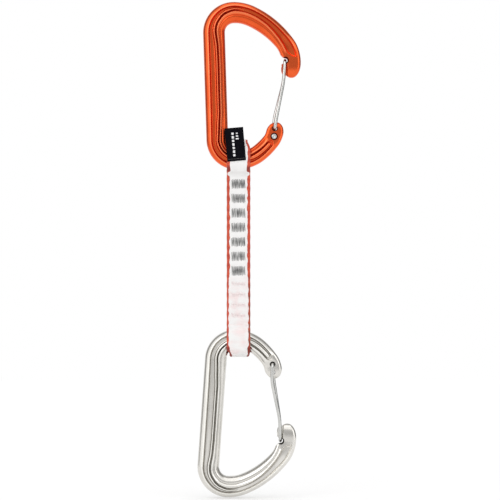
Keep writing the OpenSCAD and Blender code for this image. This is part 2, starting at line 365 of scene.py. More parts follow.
class Shade:
    """Small maker of shader nodes in one node tree."""

    def __init__(self, tree: bpy.types.NodeTree) -> None:
        """Keeps the tree that the nodes go into."""
        self.tree = tree

    def node(
        self, kind: str, inputs: dict[object, object] | None = None, **settings: object
    ) -> bpy.types.Node:
        """Adds a node.

        Args:
            kind: Blender's name for the node.
            inputs: Socket name or number to a value or to the output that feeds it.
            **settings: Properties of the node.

        Returns:
            The node.
        """
        made = self.tree.nodes.new(kind)
        for name, value in settings.items():
            setattr(made, name, value)
        for socket, value in (inputs or {}).items():
            self.feed(made.inputs[socket], value)
        return made

    def feed(self, socket: Socket, value: object) -> None:
        """Links an output to the socket, or sets the socket's own value.

        Args:
            socket: The input.
            value: An output, or a plain value.
        """
        if isinstance(value, Socket):
            self.tree.links.new(value, socket)
        else:
            socket.default_value = value

    def maths(self, operation: str, *values: object) -> Socket:
        """Output of a Math node fed by up to three values."""
        return self.node("ShaderNodeMath", dict(enumerate(values)), operation=operation).outputs[0]

    def times(self, first: object, second: object) -> Socket:
        """Product of two values."""
        return self.maths("MULTIPLY", first, second)

    def plus(self, first: object, second: object) -> Socket:
        """Sum of two values."""
        return self.maths("ADD", first, second)

    def wave(self, phase: object) -> Socket:
        """Sine of a phase."""
        return self.maths("SINE", phase)

    def axes(self, uv_map: str) -> bpy.types.NodeOutputs:
        """The coordinates of one of the mesh's maps, apart."""
        uv = self.node("ShaderNodeUVMap", uv_map=uv_map).outputs["UV"]
        return self.node("ShaderNodeSeparateXYZ", {"Vector": uv}).outputs

    def place(self) -> Socket:
        """The object's own metres."""
        return self.node("ShaderNodeTexCoord").outputs["Object"]

    def mix(self, factor: object, first: object, second: object) -> Socket:
        """Colour between two colours.

        Args:
            factor: Share of the second.
            first: Colour at 0.
            second: Colour at 1.

        Returns:
            The mixed colour.
        """
        made = self.node("ShaderNodeMix", data_type="RGBA")
        self.feed(made.inputs["Factor"], factor)
        self.feed(made.inputs["A"], first)
        self.feed(made.inputs["B"], second)
        return made.outputs["Result"]

    def ramp(
        self, value: object, low: float, high: float, to_low: float = 0.0, to_high: float = 1.0
    ) -> Socket:
        """Value carried from low..high to to_low..to_high with an eased ramp."""
        inputs = {"Value": value, "From Min": low, "From Max": high, "To Min": to_low, "To Max": to_high}
        return self.node("ShaderNodeMapRange", inputs, interpolation_type="SMOOTHSTEP").outputs["Result"]

    def noise(self, scale: object, detail: float = 3.0, vector: object = None) -> Socket:
        """Fractal noise, in the object's own metres unless another vector is given."""
        inputs = {"Vector": vector or self.place(), "Scale": scale, "Detail": detail}
        return self.node("ShaderNodeTexNoise", inputs).outputs["Fac"]


class Effect(Enum):
    """Surface effects that several finishes share, each a shader group."""

    TUMBLED = "Tumbled metal"
    # Masks for a painted highlight on proud crests and painted shade in grooves.
    WEAR = "Painted highlights and groove shade"
    WEAVE = "Woven tape"
    STRAND = "Twisted strand"


SOCKETS = {
    Effect.TUMBLED: ([("Grain", 9000.0)], ["Height", "Blotch"]),
    Effect.WEAR: ([("Break-up", 0.12)], ["Crest", "Groove shade"]),
    Effect.WEAVE: ([("Rib", 0.6), ("Pick", 0.8)], ["Height", "Gap shade", "Across", "Along"]),
    Effect.STRAND: ([("Twist", 2.2)], ["Height", "Shade"]),
}


def effect_group(effect: Effect) -> bpy.types.NodeTree:
    """The shader group of an effect, built on first use.

    Args:
        effect: Which effect.

    Returns:
        The group, with the named inputs and outputs that SOCKETS lists.
    """
    if effect.value in bpy.data.node_groups:
        return bpy.data.node_groups[effect.value]
    tree = bpy.data.node_groups.new(effect.value, "ShaderNodeTree")
    inputs, outputs = SOCKETS[effect]
    for name, value in inputs:
        tree.interface.new_socket(name, in_out="INPUT", socket_type="NodeSocketFloat").default_value = value
    for name in outputs:
        tree.interface.new_socket(name, in_out="OUTPUT", socket_type="NodeSocketFloat")
    shade = Shade(tree)
    entry = shade.node("NodeGroupInput").outputs
    made = EFFECT_BUILDERS[effect](shade, entry)
    shade.node("NodeGroupOutput", dict(zip(outputs, made)))
    return tree


def tumbled_nodes(shade: Shade, entry: bpy.types.NodeOutputs) -> list[Socket]:
    """Fine pits of a tumbled surface and slow blotches of handling.

    Args:
        shade: Maker of the group's nodes.
        entry: The group's inputs.

    Returns:
        The height and the blotches.
    """
    place = shade.place()
    fine = shade.noise(entry["Grain"], 2.0, place)
    pits = shade.noise(shade.times(entry["Grain"], 0.14), 2.0, place)
    return [shade.plus(shade.times(fine, 0.6), shade.times(pits, 0.4)), shade.noise(90.0, 4.0, place)]


def painted_light_nodes(shade: Shade, entry: bpy.types.NodeOutputs) -> list[Socket]:
    """Masks for a painted highlight on a forging's proud crests and painted shade in its grooves, broken up a
    little.

    Args:
        shade: Maker of the group's nodes.
        entry: The group's inputs.

    Returns:
        The painted crest highlight mask and the painted groove shade mask.
    """
    masks = shade.axes("Relief")
    loss = shade.times(shade.ramp(shade.noise(1100.0, 4.0), 0.35, 0.7), entry["Break-up"])
    kept = shade.maths("SUBTRACT", 1.0, loss)
    return [shade.times(masks[axis], kept) for axis in ("X", "Y")]


def weave_nodes(shade: Shade, entry: bpy.types.NodeOutputs) -> list[Socket]:
    """Lengthwise ribs crossed by picks, each rib half a pick out of step with the next.

    Args:
        shade: Maker of the group's nodes.
        entry: The group's inputs.

    Returns:
        The height, a mask of the gaps between threads for painted shade, and the distances across and along
        the cloth.
    """
    cloth = shade.axes("Cloth")
    across, along = cloth["X"], cloth["Y"]
    columns = shade.maths("DIVIDE", across, entry["Rib"])
    step = shade.times(shade.maths("MODULO", shade.maths("FLOOR", columns), 2.0), 0.5)
    rows = shade.plus(shade.maths("DIVIDE", along, entry["Pick"]), step)
    rib, hump = (shade.wave(shade.times(shade.maths("FRACT", turns), math.pi)) for turns in (columns, rows))
    rounded = shade.maths("POWER", hump, 0.6)
    height = shade.times(rib, shade.plus(shade.times(rounded, 0.65), 0.35))
    return [height, shade.ramp(height, 0.1, 0.6, 1.0, 0.0), across, along]


def strand_nodes(shade: Shade, entry: bpy.types.NodeOutputs) -> list[Socket]:
    """Helical plies of a sewing thread, and a shade of its own for each stroke.

    Args:
        shade: Maker of the group's nodes.
        entry: The group's inputs.

    Returns:
        The height and the stroke's shade.
    """
    stroke = shade.axes("Cloth")
    slant = shade.node("ShaderNodeSeparateXYZ", {"Vector": shade.place()}).outputs["X"]
    phase = shade.plus(shade.times(stroke["Y"], entry["Twist"]), shade.times(slant, 1800.0))
    return [shade.maths("ABSOLUTE", shade.wave(shade.times(phase, math.pi))), stroke["X"]]


EFFECT_BUILDERS = {
    Effect.TUMBLED: tumbled_nodes,
    Effect.WEAR: painted_light_nodes,
    Effect.WEAVE: weave_nodes,
    Effect.STRAND: strand_nodes,
}


# ---------------------------------------------------------------- finishes


def rgba(colour: Colour, share: float = 1.0) -> tuple[float, float, float, float]:
    """The colour, darkened to a share of itself, with full alpha."""
    return (*(c * share for c in colour), 1.0)


class Painter:
    """A material with a Principled BSDF, and shortcuts to its usual nodes."""

    def __init__(self, name: str) -> None:
        """Starts an empty node material.

        Args:
            name: The material's name.
        """
        self.material = bpy.data.materials.new(name)
        self.material.use_nodes = True
        self.shade = Shade(self.material.node_tree)
        self.bsdf = self.material.node_tree.nodes["Principled BSDF"]

    def effect(self, effect: Effect, **inputs: object) -> bpy.types.NodeOutputs:
        """Places a shared effect with its own values.

        Args:
            effect: Which effect.
            **inputs: Values of its named inputs.

        Returns:
            Its outputs.
        """
        made = self.shade.node("ShaderNodeGroup", node_tree=effect_group(effect))
        for name, value in inputs.items():
            self.shade.feed(made.inputs[name], value)
        return made.outputs

    def set(self, **values: object) -> None:
        """Sets or links the shader's sockets; an underscore in a name stands for a space."""
        for name, value in values.items():
            self.shade.feed(self.bsdf.inputs[name.replace("_", " ")], value)

    def bump(self, height: object, depth: float, strength: float = 1.0) -> None:
        """Feeds the shader's Normal from a height, with the relief's real depth in metres."""
        inputs = {"Height": height, "Distance": depth, "Strength": strength}
        self.set(Normal=self.shade.node("ShaderNodeBump", inputs).outputs["Normal"])


@dataclass(frozen=True)
class MetalFinish:
    """Tumbled metal, anodised or bare, with painted shade darkening its grooves and a painted highlight on
    its crests.
    """

    name: str
    colour: Colour
    shadow: Colour
    # Colour of the painted shade in the grooves.
    groove_shade: Colour
    # Colour of the painted highlight on the crests.
    painted_light: Colour
    roughness: float
    grain_depth: float

    def build(self) -> bpy.types.Material:
        """Mixes the finish.

        Returns:
            The material.
        """
        paint = Painter(self.name)
        tumbled = paint.effect(Effect.TUMBLED, Grain=7000.0)
        light_masks = paint.effect(Effect.WEAR)
        blotch = paint.shade.ramp(tumbled["Blotch"], 0.35, 0.7)
        base = paint.shade.mix(blotch, rgba(self.colour), rgba(self.shadow))
        # Painted shade: darker along the groove and floor edges.
        base = paint.shade.mix(light_masks["Groove shade"], base, rgba(self.groove_shade))
        # Painted highlight: paler along the proud crests.
        edge = paint.shade.times(light_masks["Crest"], 0.8)
        rough = paint.shade.ramp(tumbled["Blotch"], 0.3, 0.75, self.roughness - 0.02, self.roughness + 0.04)
        paint.set(Base_Color=paint.shade.mix(edge, base, rgba(self.painted_light)), Metallic=1.0, Roughness=rough)
        paint.bump(tumbled["Height"], self.grain_depth)
        return paint.material


@dataclass(frozen=True)
class WireFinish:
    """Drawn and polished stainless wire."""

    name: str
    colour: Colour
    roughness: float

    def build(self) -> bpy.types.Material:
        """Mixes the finish, with faint lengthwise drawing marks.

        Returns:
            The material.
        """
        paint = Painter(self.name)
        inputs = {"Vector": paint.shade.place(), "Scale": (1.0, 1.0, 0.04)}
        drawn = paint.shade.node("ShaderNodeMapping", inputs)
        lines = paint.shade.noise(5200.0, 3.0, drawn.outputs["Vector"])
        blotch = paint.effect(Effect.TUMBLED, Grain=4000.0)["Blotch"]
        dulled = paint.shade.ramp(blotch, 0.4, 0.7)
        paint.set(
            Base_Color=paint.shade.mix(dulled, rgba(self.colour), rgba(self.colour, 0.86)),
            Metallic=1.0,
            Roughness=paint.shade.ramp(lines, 0.3, 0.7, self.roughness - 0.03, self.roughness + 0.05),
        )
        paint.bump(lines, 0.000002)
        return paint.material


@dataclass(frozen=True)
class TapeFinish:
    """White woven tape with coloured, scalloped selvedges that narrow down the sling."""

    name: str
    centre: Colour
    tint: Colour
    selvedge: Colour
    selvedge_dark: Colour
    selvedge_dull: Colour
    width: float
    wide_edge: float
    narrow_edge: float
    narrows_from: float
    narrows_to: float
    scallop_pitch: float
    # Distances down the tape: the fold at the throat, the white turned edge under it, the lower crown.
    fold_from: float = 78.5
    white_from: float = 81.9
    white_to: float = 85.6
    crown_from: float = 183.5
    crown_to: float = 194.0

    @staticmethod
    def band(shade: Shade, along: Socket, start: float, end: float) -> Socket:
        """One between two distances down the tape, with soft ends."""
        into = shade.ramp(along, start - 1.0, start + 1.0)
        return shade.times(into, shade.ramp(along, end - 1.0, end + 1.0, 1.0, 0.0))

    def border(self, shade: Shade, along: Socket, turn: Socket, folded: Socket) -> Socket:
        """Width of the selvedge down the tape.

        Args:
            shade: Maker of the material's nodes.
            along: Distance down the tape.
            turn: Phase of the scallops.
            folded: One where the tape is folded.

        Returns:
            The width, scalloped and uneven.
        """
        edge = shade.ramp(along, self.narrows_from, self.narrows_to, self.wide_edge, self.narrow_edge)
        scallops = shade.times(shade.wave(turn), 0.2)
        uneven = shade.times(shade.maths("SUBTRACT", shade.noise(420.0), 0.5), 0.9)
        covered = shade.times(self.band(shade, along, self.white_from, self.white_to), 0.7)
        edge = shade.times(edge, shade.maths("SUBTRACT", 1.0, covered))
        return shade.plus(shade.plus(edge, shade.times(folded, 0.5)), shade.plus(scallops, uneven))

    def build(self) -> bpy.types.Material:
        """Mixes the finish.

        Returns:
            The material.
        """
        paint = Painter(self.name)
        shade = paint.shade
        weave = paint.effect(Effect.WEAVE, Rib=0.62, Pick=0.9)
        along, gap_shade = weave["Along"], weave["Gap shade"]
        middle = self.width / 2
        aside = shade.maths("ABSOLUTE", shade.maths("SUBTRACT", weave["Across"], middle))
        turn = shade.times(along, 2 * math.pi / self.scallop_pitch)
        throat = self.band(shade, along, self.fold_from, self.white_from)
        folded = shade.maths("MAXIMUM", throat, self.band(shade, along, self.crown_from, self.crown_to))
        border = self.border(shade, along, turn, folded)
        from_edge = shade.maths("SUBTRACT", middle, aside)
        inside = shade.ramp(shade.maths("SUBTRACT", from_edge, border), -0.08, 0.08)
        low = shade.ramp(along, self.narrows_from, self.narrows_to)
        crossing = shade.maths("POWER", shade.maths("ABSOLUTE", shade.wave(shade.times(turn, 0.5))), 6.0)
        half_crossing = shade.times(crossing, 0.5)
        tinted = shade.times(shade.plus(shade.ramp(shade.noise(160.0), 0.4, 0.66), half_crossing), low)
        white = shade.mix(shade.times(tinted, 0.7), rgba(self.centre), rgba(self.tint))
        # Painted shade: the white is darker in the gaps between threads.
        white = shade.mix(shade.times(gap_shade, 0.55), white, rgba(self.centre, 0.66))
        patchy = shade.ramp(shade.noise(700.0), 0.35, 0.7)
        red = shade.mix(patchy, rgba(self.selvedge), rgba(self.selvedge_dark))
        # Painted shade: the red is darker in the gaps between threads.
        red = shade.mix(shade.times(gap_shade, 0.6), red, rgba(self.selvedge_dark))
        low_right = shade.times(low, shade.maths("GREATER_THAN", weave["Across"], middle))
        red = shade.mix(shade.times(low_right, shade.plus(half_crossing, 0.4)), red, rgba(self.selvedge_dull))
        # Painted shade: the selvedge is darker in the folds at the throat and the lower crown.
        red = shade.mix(shade.times(folded, 0.75), red, rgba(self.selvedge_dark, 0.45))
        paint.set(
            Base_Color=shade.mix(inside, red, white),
            Roughness=shade.ramp(weave["Height"], 0.0, 1.0, 0.9, 0.62),
            Sheen_Weight=0.25,
            Sheen_Roughness=0.4,
        )
        paint.bump(weave["Height"], 0.00016, 0.9)
        return paint.material


@dataclass(frozen=True)
class ThreadFinish:
    """Twisted sewing thread, each stroke a little lighter or darker than the next."""

    name: str
    light: Colour
    dark: Colour
    roughness: float = 0.55

    def build(self) -> bpy.types.Material:
        """Mixes the finish.

        Returns:
            The material.
        """
        paint = Painter(self.name)
        strand = paint.effect(Effect.STRAND, Twist=2.4)
        own = paint.shade.mix(strand["Shade"], rgba(self.dark), rgba(self.light))
        # Painted shade: each stroke is darker in the grooves between its plies.
        groove_shade = paint.shade.ramp(strand["Height"], 0.0, 0.5, 0.5, 0.0)
        paint.set(
            Base_Color=paint.shade.mix(groove_shade, own, rgba(self.dark, 0.5)),
            Roughness=self.roughness,
            Sheen_Weight=0.3,
        )
        paint.bump(strand["Height"], 0.00005, 0.8)
        return paint.material


@dataclass(frozen=True)
class LabelFinish:
    """Close woven black satin."""

    name: str
    colour: Colour
    lift: Colour

    def build(self) -> bpy.types.Material:
        """Mixes the finish.

        Returns:
            The material.
        """
        paint = Painter(self.name)
        weave = paint.effect(Effect.WEAVE, Rib=0.22, Pick=0.3)
        fuzz = paint.shade.ramp(paint.shade.noise(900.0, 4.0), 0.45, 0.75)
        base = paint.shade.mix(paint.shade.times(fuzz, 0.5), rgba(self.colour), rgba(self.lift))
        paint.set(Base_Color=base, Roughness=0.85, Specular_IOR_Level=0.06)
        paint.bump(weave["Height"], 0.00006, 0.8)
        return paint.material


@dataclass(frozen=True)
class FloorFinish:
    """Plain pale studio floor that fades into the lit room away from the object."""

    name: str
    colour: Colour
    fades_by: float = 0.6

    def build(self) -> bpy.types.Material:
        """Mixes the finish.

        Returns:
            The material.
        """
        paint = Painter(self.name)
        length = paint.shade.node("ShaderNodeVectorMath", {0: paint.shade.place()}, operation="LENGTH")
        away = length.outputs["Value"]
        glow = paint.shade.ramp(away, 0.05, self.fades_by)
        paint.set(
            Base_Color=paint.shade.mix(glow, rgba(self.colour), (0.0, 0.0, 0.0, 1.0)),
            Roughness=0.9,
            Specular_IOR_Level=0.05,
            Emission_Color=WHITE,
            Emission_Strength=glow,
        )
        return paint.material


# ---------------------------------------------------------------- carabiner


@dataclass(frozen=True)
class Stretch:
    """One stretch of the bar's centreline; a clockwise turn is positive, in degrees."""

    length: float
    turn: float


def bend(radius: float, turn: float) -> Stretch:
    """A stretch that turns at a radius."""
    return Stretch(radius * abs(math.radians(turn)), turn)


@dataclass(frozen=True)
class Relief:
    """The face relief at one place along the bar, measured from the outer edge across the face.

    The recess runs from outer to inner with walls of the given widths, and a rib stands in it.
    """

    at: float
    outer: float
    outer_wall: float
    rib: float
    rib_half: float
    rib_height: float
    inner: float
    inner_wall: float
    depth: float
    crease: float

    def row(self) -> list[float]:
        """All values but the place.

        Returns:
            The values, in the order of the fields.
        """
        return [
            self.outer, self.outer_wall, self.rib, self.rib_half, self.rib_height,
            self.inner, self.inner_wall, self.depth, self.crease,
        ]  # fmt: skip


@dataclass
class Bar:
    """The forged bar of a carabiner in its own plane: x to the gate side, z to the basket."""

    spine_foot: tuple[float, float] = (-9.75, 6.5)
    step: float = 0.5
    nose_round: float = 9.4
    tail_round: float = 6.2
    end_sweep: float = 84.0
    rib_foot: float = 0.45
    rim_dip: float = 0.16
    crease_dip: float = 0.34
    ridge_rise: float = 0.14
    nose_run: tuple[Stretch, ...] = (
        Stretch(60.5, 0), bend(11.1, 90), bend(22, 26), bend(50, 28), bend(17.2, 35), Stretch(10, 1),
    )  # fmt: skip
    tail_run: tuple[Stretch, ...] = (
        bend(11.3, -90), bend(20, -37), bend(40, -13), bend(11, -21), bend(23, -18),
    )  # fmt: skip
    # Width and thickness at the start and at the end of each stretch.
    nose_size: tuple[Pair, ...] = (
        (12.2, 8.6), (12.2, 8.6), (11.9, 9.6), (11.5, 9.6), (10.5, 8.8), (11, 8), (11.4, 7.8),
    )  # fmt: skip
    tail_size: tuple[Pair, ...] = (
        (12.2, 8.6), (10, 9.6), (9.9, 8.2), (9.6, 6.4), (9.7, 6), (10, 6),
    )  # fmt: skip
    relief: tuple[Relief, ...] = (
        Relief(-51, 2.2, 0.6, 4.4, 0.7, 0.9, 6.3, 0.6, 1.3, 7.9),
        Relief(-36, 2.2, 0.6, 4.4, 0.7, 0.9, 6.3, 0.6, 1.4, 7.9),
        Relief(-28, 2.1, 0.7, 4.6, 0.7, 0.9, 6.7, 0.6, 1.6, 8.1),
        Relief(-18, 2.2, 0.8, 5.4, 0.6, 0.9, 7.0, 0.6, 1.7, 8.3),
        Relief(-10, 2.4, 0.8, 6.2, 0.4, 0.9, 7.6, 0.6, 1.8, 8.7),
        Relief(0, 2.6, 0.8, 6.1, 0.3, 0.85, 7.5, 0.6, 1.8, 8.7),
        Relief(8, 2.7, 0.8, 6.6, 0.25, 0.8, 8.1, 0.55, 1.8, 9.1),
        Relief(16, 2.8, 0.8, 7.2, 0.2, 0.7, 8.6, 0.5, 1.8, 9.7),
        Relief(45, 2.9, 0.8, 7.3, 0.2, 0.7, 8.8, 0.5, 1.8, 9.8),
        Relief(53, 2.9, 0.8, 7.1, 0.25, 0.8, 8.6, 0.5, 1.8, 9.7),
        Relief(61, 2.9, 0.8, 6.2, 0.3, 0.9, 7.8, 0.55, 1.8, 9.1),
        Relief(68, 2.7, 0.8, 5.6, 0.3, 0.9, 7.2, 0.55, 1.8, 8.6),
        Relief(74.5, 2.4, 0.7, 4.7, 0.25, 0.8, 6.3, 0.6, 1.7, 7.9),
        Relief(79, 2.2, 0.7, 4.0, 0.2, 0.5, 5.6, 0.6, 1.7, 7.5),
        Relief(84, 2.2, 0.7, 3.8, 0.2, 0.0, 5.5, 0.7, 1.7, 7.2),
        Relief(92, 2.1, 0.7, 3.8, 0.2, 0.0, 5.3, 0.8, 1.7, 6.9),
        Relief(98, 2.1, 0.7, 3.8, 0.2, 0.0, 5.5, 0.9, 1.7, 6.8),
        Relief(102, 2.1, 0.7, 3.8, 0.2, 0.0, 5.9, 1.05, 1.7, 7.0),
        Relief(107.5, 2.1, 0.8, 3.8, 0.2, 0.0, 6.4, 1.15, 1.7, 7.5),
        Relief(112, 2.0, 0.8, 3.8, 0.2, 0.0, 6.8, 1.15, 1.6, 7.9),
        Relief(115, 2.0, 0.8, 3.8, 0.2, 0.0, 7.1, 1.0, 1.5, 8.2),
        Relief(133, 2.0, 0.8, 3.8, 0.2, 0.0, 7.1, 1.0, 1.5, 8.2),
    )
    tail_close: tuple[float, float] = (-37.4, -40.4)
    rib_close: tuple[float, float] = (-36.9, -38.6)
    nose_close: tuple[float, float] = (116.5, 121.8)

    def stations(
        self, run: tuple[Stretch, ...], size: tuple[Pair, ...], heading: float, round_end: float
    ) -> list[list[float]]:
        """Places along a run.

        Args:
            run: The stretches.
            size: Width and thickness at their ends.
            heading: Direction in degrees at the spine's foot.
            round_end: Length of the rounded end.

        Returns:
            Rows of distance, x, z, heading, width and thickness.
        """
        total = sum(s.length for s in run)
        rows = []
        start = (*self.spine_foot, heading)
        done = 0.0
        for i, stretch in enumerate(run):
            last = i == len(run) - 1
            count = max(6, round(stretch.length / self.step)) * (2 if last else 1)
            for k in range(0 if i == 0 else 1, count + 1):
                share = math.sin(math.radians(k / count * self.end_sweep)) if last else k / count
                x, z, turned = self.advance(start, stretch.length * share, stretch.turn * share)
                at = done + stretch.length * share
                left = total - done - stretch.length * share
                e = 1 - left / round_end if left < round_end else 0.0
                width = size[i][0] * (1 - share) + size[i + 1][0] * share
                thick = size[i][1] * (1 - share) + size[i + 1][1] * share
                rows.append([at, x, z, turned, width * math.sqrt(1 - e * e), thick * math.sqrt(1 - e**4)])
            start = self.advance(start, stretch.length, stretch.turn)
            done += stretch.length
        return rows

    @staticmethod
    def advance(place: tuple[float, float, float], length: float, turn: float) -> tuple[float, float, float]:
        """Place reached after a stretch.

        Args:
            place: x, z and heading in degrees at its start.
            length: Its length.
            turn: How far it turns clockwise, in degrees.

        Returns:
            x, z and heading at its end.
        """
        x, z, heading = place
        h0 = math.radians(heading)
        if turn == 0:
            return (x + length * math.cos(h0), z + length * math.sin(h0), heading)
        radius = length / math.radians(turn)
        h1 = math.radians(heading - turn)
        x += radius * (math.sin(h0) - math.sin(h1))
        z += radius * (math.cos(h1) - math.cos(h0))
        return (x, z, heading - turn)

    def relief_at(self, at: float) -> list[float]:
        """Relief values at a distance from the spine's foot, negative towards the tail.

        Args:
            at: Distance in millimetres.

        Returns:
            The values of Relief.row there, closed at the ends of the recess.
        """
        places = [r.at for r in self.relief]
        rows = np.array([r.row() for r in self.relief])
        k = int(np.clip(np.searchsorted(places, at) - 1, 0, len(places) - 2))
        linear = (at - places[k]) / (places[k + 1] - places[k])
        row = rows[k] + (rows[k + 1] - rows[k]) * (0.5 * eased(linear) + 0.5 * float(np.clip(linear, 0, 1)))
        outer, outer_wall, rib, rib_half, rib_height, inner, inner_wall, depth, crease = row
        if at < self.tail_close[0]:
            half = (inner - outer) / 2 * self.closing(at, self.tail_close)
            middle = (inner + outer) / 2
            outer, inner = middle - half, middle + half
        if at < self.rib_close[0]:
            closed = self.closing(at, self.rib_close)
            rib_half, rib_height = rib_half * closed, rib_height * min(1.0, closed * 1.6)
        if at > self.nose_close[0]:
            inner = outer + (inner - outer) * self.closing(at, self.nose_close)
        return [outer, outer_wall, rib, rib_half, rib_height, inner, inner_wall, depth, crease]

    @staticmethod
    def closing(at: float, span: tuple[float, float]) -> float:
        """Half width left of a round end that closes over a span, as a share."""
        t = (at - span[0]) / (span[1] - span[0])
        return math.sqrt(max(0.0, 1 - t * t))

    def roundness(self, at: float) -> float:
        """How square the bar's section is: rounder along the bar, flatter at its two ends.

        Args:
            at: Distance along the bar.

        Returns:
            The power of its oval.
        """
        return 2.6 + 2.6 * eased((at - 108) / 10) + 2.2 * eased((-36 - at) / 6)

    def section(self, at: float, width: float, thick: float) -> tuple[np.ndarray, np.ndarray, np.ndarray]:
        """Half thickness over the face, and where its painted highlight and painted shade go.

        Args:
            at: Distance along the bar.
            width: Width in the carabiner's plane.
            thick: Thickness.

        Returns:
            Distances from the outer edge, the half thickness at each, and its painted crest highlight and
            groove shade masks.
        """
        outer, outer_wall, rib, rib_half, rib_height, inner, inner_wall, depth, crease = self.relief_at(at)
        squeeze = min(1.0, width / max(crease + 1.5, 1.0))
        power = self.roundness(at)
        f = self.rib_foot
        spots = np.concatenate([
            outer * (np.arange(1, 8) / 8) ** 2 / (7 / 8) ** 2 * 0.93, [outer],
            outer + outer_wall * np.array([0.25, 0.5, 0.75, 1.0]),
            outer + outer_wall + (rib - rib_half - f - outer - outer_wall) * np.array([0.33, 0.67]),
            rib - rib_half - f * np.array([1, 0.67, 0.33, 0]), [rib],
            rib + rib_half + f * np.array([0, 0.33, 0.67, 1]),
            inner - inner_wall * np.array([1.15, 1.0, 0.75, 0.5, 0.25, 0.0]),
        ])  # fmt: skip
        spots = np.clip(np.maximum.accumulate(spots), 0, inner + 0.001 * np.arange(len(spots)))
        end = width / squeeze
        ridge = inner + np.array([0.15, 0.3, 0.45])
        fold = np.maximum(crease + np.array([-0.4, -0.2, 0, 0.2, 0.4]), inner + 0.5)
        edge = crease + 0.4 + (end - crease - 0.4) * (1 - (1 - np.arange(1, 7) / 7) ** 1.5)
        spots = np.maximum.accumulate(np.concatenate([spots, ridge, fold, np.maximum(edge, inner + 0.9)]))
        spots = (spots + 0.0005 * np.arange(len(spots))) * squeeze
        spots = np.clip(spots, 0.004 * width, 0.996 * width)
        dome = thick / 2 * (1 - np.abs(2 * spots / width - 1) ** power) ** (1 / power)
        full = spots / squeeze
        into = smoothstep((full - outer) / outer_wall) * smoothstep((inner - full) / inner_wall)
        ribbed = rib_height * (1 - smoothstep((np.abs(full - rib) - rib_half) / f))
        sunk = into * (1 - ribbed)
        rim = thick / 2 * (1 - abs(2 * outer * squeeze / width - 1) ** power) ** (1 / power)
        floor = max(rim, 0.01) - depth * squeeze
        live = eased((inner - outer - 0.3) / 2.2)
        dips = self.rim_dip * np.exp(-(((full - outer + 0.75) / 0.36) ** 2))
        dips += self.crease_dip * np.exp(-(((full - crease) / 0.42) ** 2))
        dips -= self.lines(full, ((outer - 0.2, 0.3, 0.6), (inner + 0.3, 0.34, 1.0))) * self.ridge_rise
        half = dome * (1 - sunk) + np.minimum(floor, dome) * sunk - dips * live * self.face_share(at)
        ribs = min(1.0, rib_height / 0.6)
        # Where the painted highlight goes on the crests and the painted shade along the groove edges.
        crest_highlights = self.lines(full, ((outer - 0.2, 0.3, 1.0), (rib, 0.25, ribs), (inner + 0.3, 0.34, 1.0)))
        floor_edges = ((outer + outer_wall, 0.2, 0.9), (inner - inner_wall, 0.2, 0.9), (crease, 0.24, 0.75))
        rib_edges = ((rib - rib_half - f, 0.16, ribs), (rib + rib_half + f, 0.2, ribs))
        groove_shade_lines = self.lines(full, floor_edges + rib_edges)
        share = live * self.face_share(at)
        return spots, half, np.stack([crest_highlights * share, groove_shade_lines * share], axis=1)

    @staticmethod
    def lines(spots: np.ndarray, marks: tuple[tuple[float, float, float], ...]) -> np.ndarray:
        """Soft lines along the bar.

        Args:
            spots: Distances from the outer edge.
            marks: Middle, half width and strength of each line.

        Returns:
            The strongest line's share at each spot.
        """
        masks = [power * np.exp(-(((spots - middle) / half) ** 2)) for middle, half, power in marks]
        return np.max(masks, axis=0)

    @staticmethod
    def face_share(at: float) -> float:
        """How much of the rim's soft shaping is there, fading out before the tail and the nose."""
        return eased((at + 41) / 4) * eased((120 - at) / 5)

    def rings(self) -> tuple[np.ndarray, np.ndarray]:
        """Closed rings of the bar from the tail's end to the nose's end.

        Returns:
            The rings, and the painted highlight and shade masks of their points.
        """
        nose = self.stations(self.nose_run, self.nose_size, 90, self.nose_round)
        tail = self.stations(self.tail_run, self.tail_size, -90, self.tail_round)
        rows = [([-r[0], *r[1:]], -1) for r in reversed(tail[1:])] + [(r, 1) for r in nose]
        made, painted_light = [], []
        for (at, x, z, heading, width, thick), side in rows:
            h = math.radians(heading)
            out = np.array([-math.sin(h), 0, math.cos(h)]) * side
            spots, half, masks = self.section(at, width, thick)
            centre = np.array([x, 0, z])
            front = centre + np.outer(width / 2 - spots, out) - np.outer(half, (0, 1, 0))
            back = centre + np.outer(width / 2 - spots, out) + np.outer(half, (0, 1, 0))
            first = centre + out * width / 2
            last = centre - out * width / 2
            made.append(np.concatenate([[first], front, [last], back[::-1]]))
            painted_light.append(np.concatenate([[masks[0]], masks, [masks[-1]], masks[::-1]]))
        return np.array(made), np.array(painted_light).reshape(-1, 2)


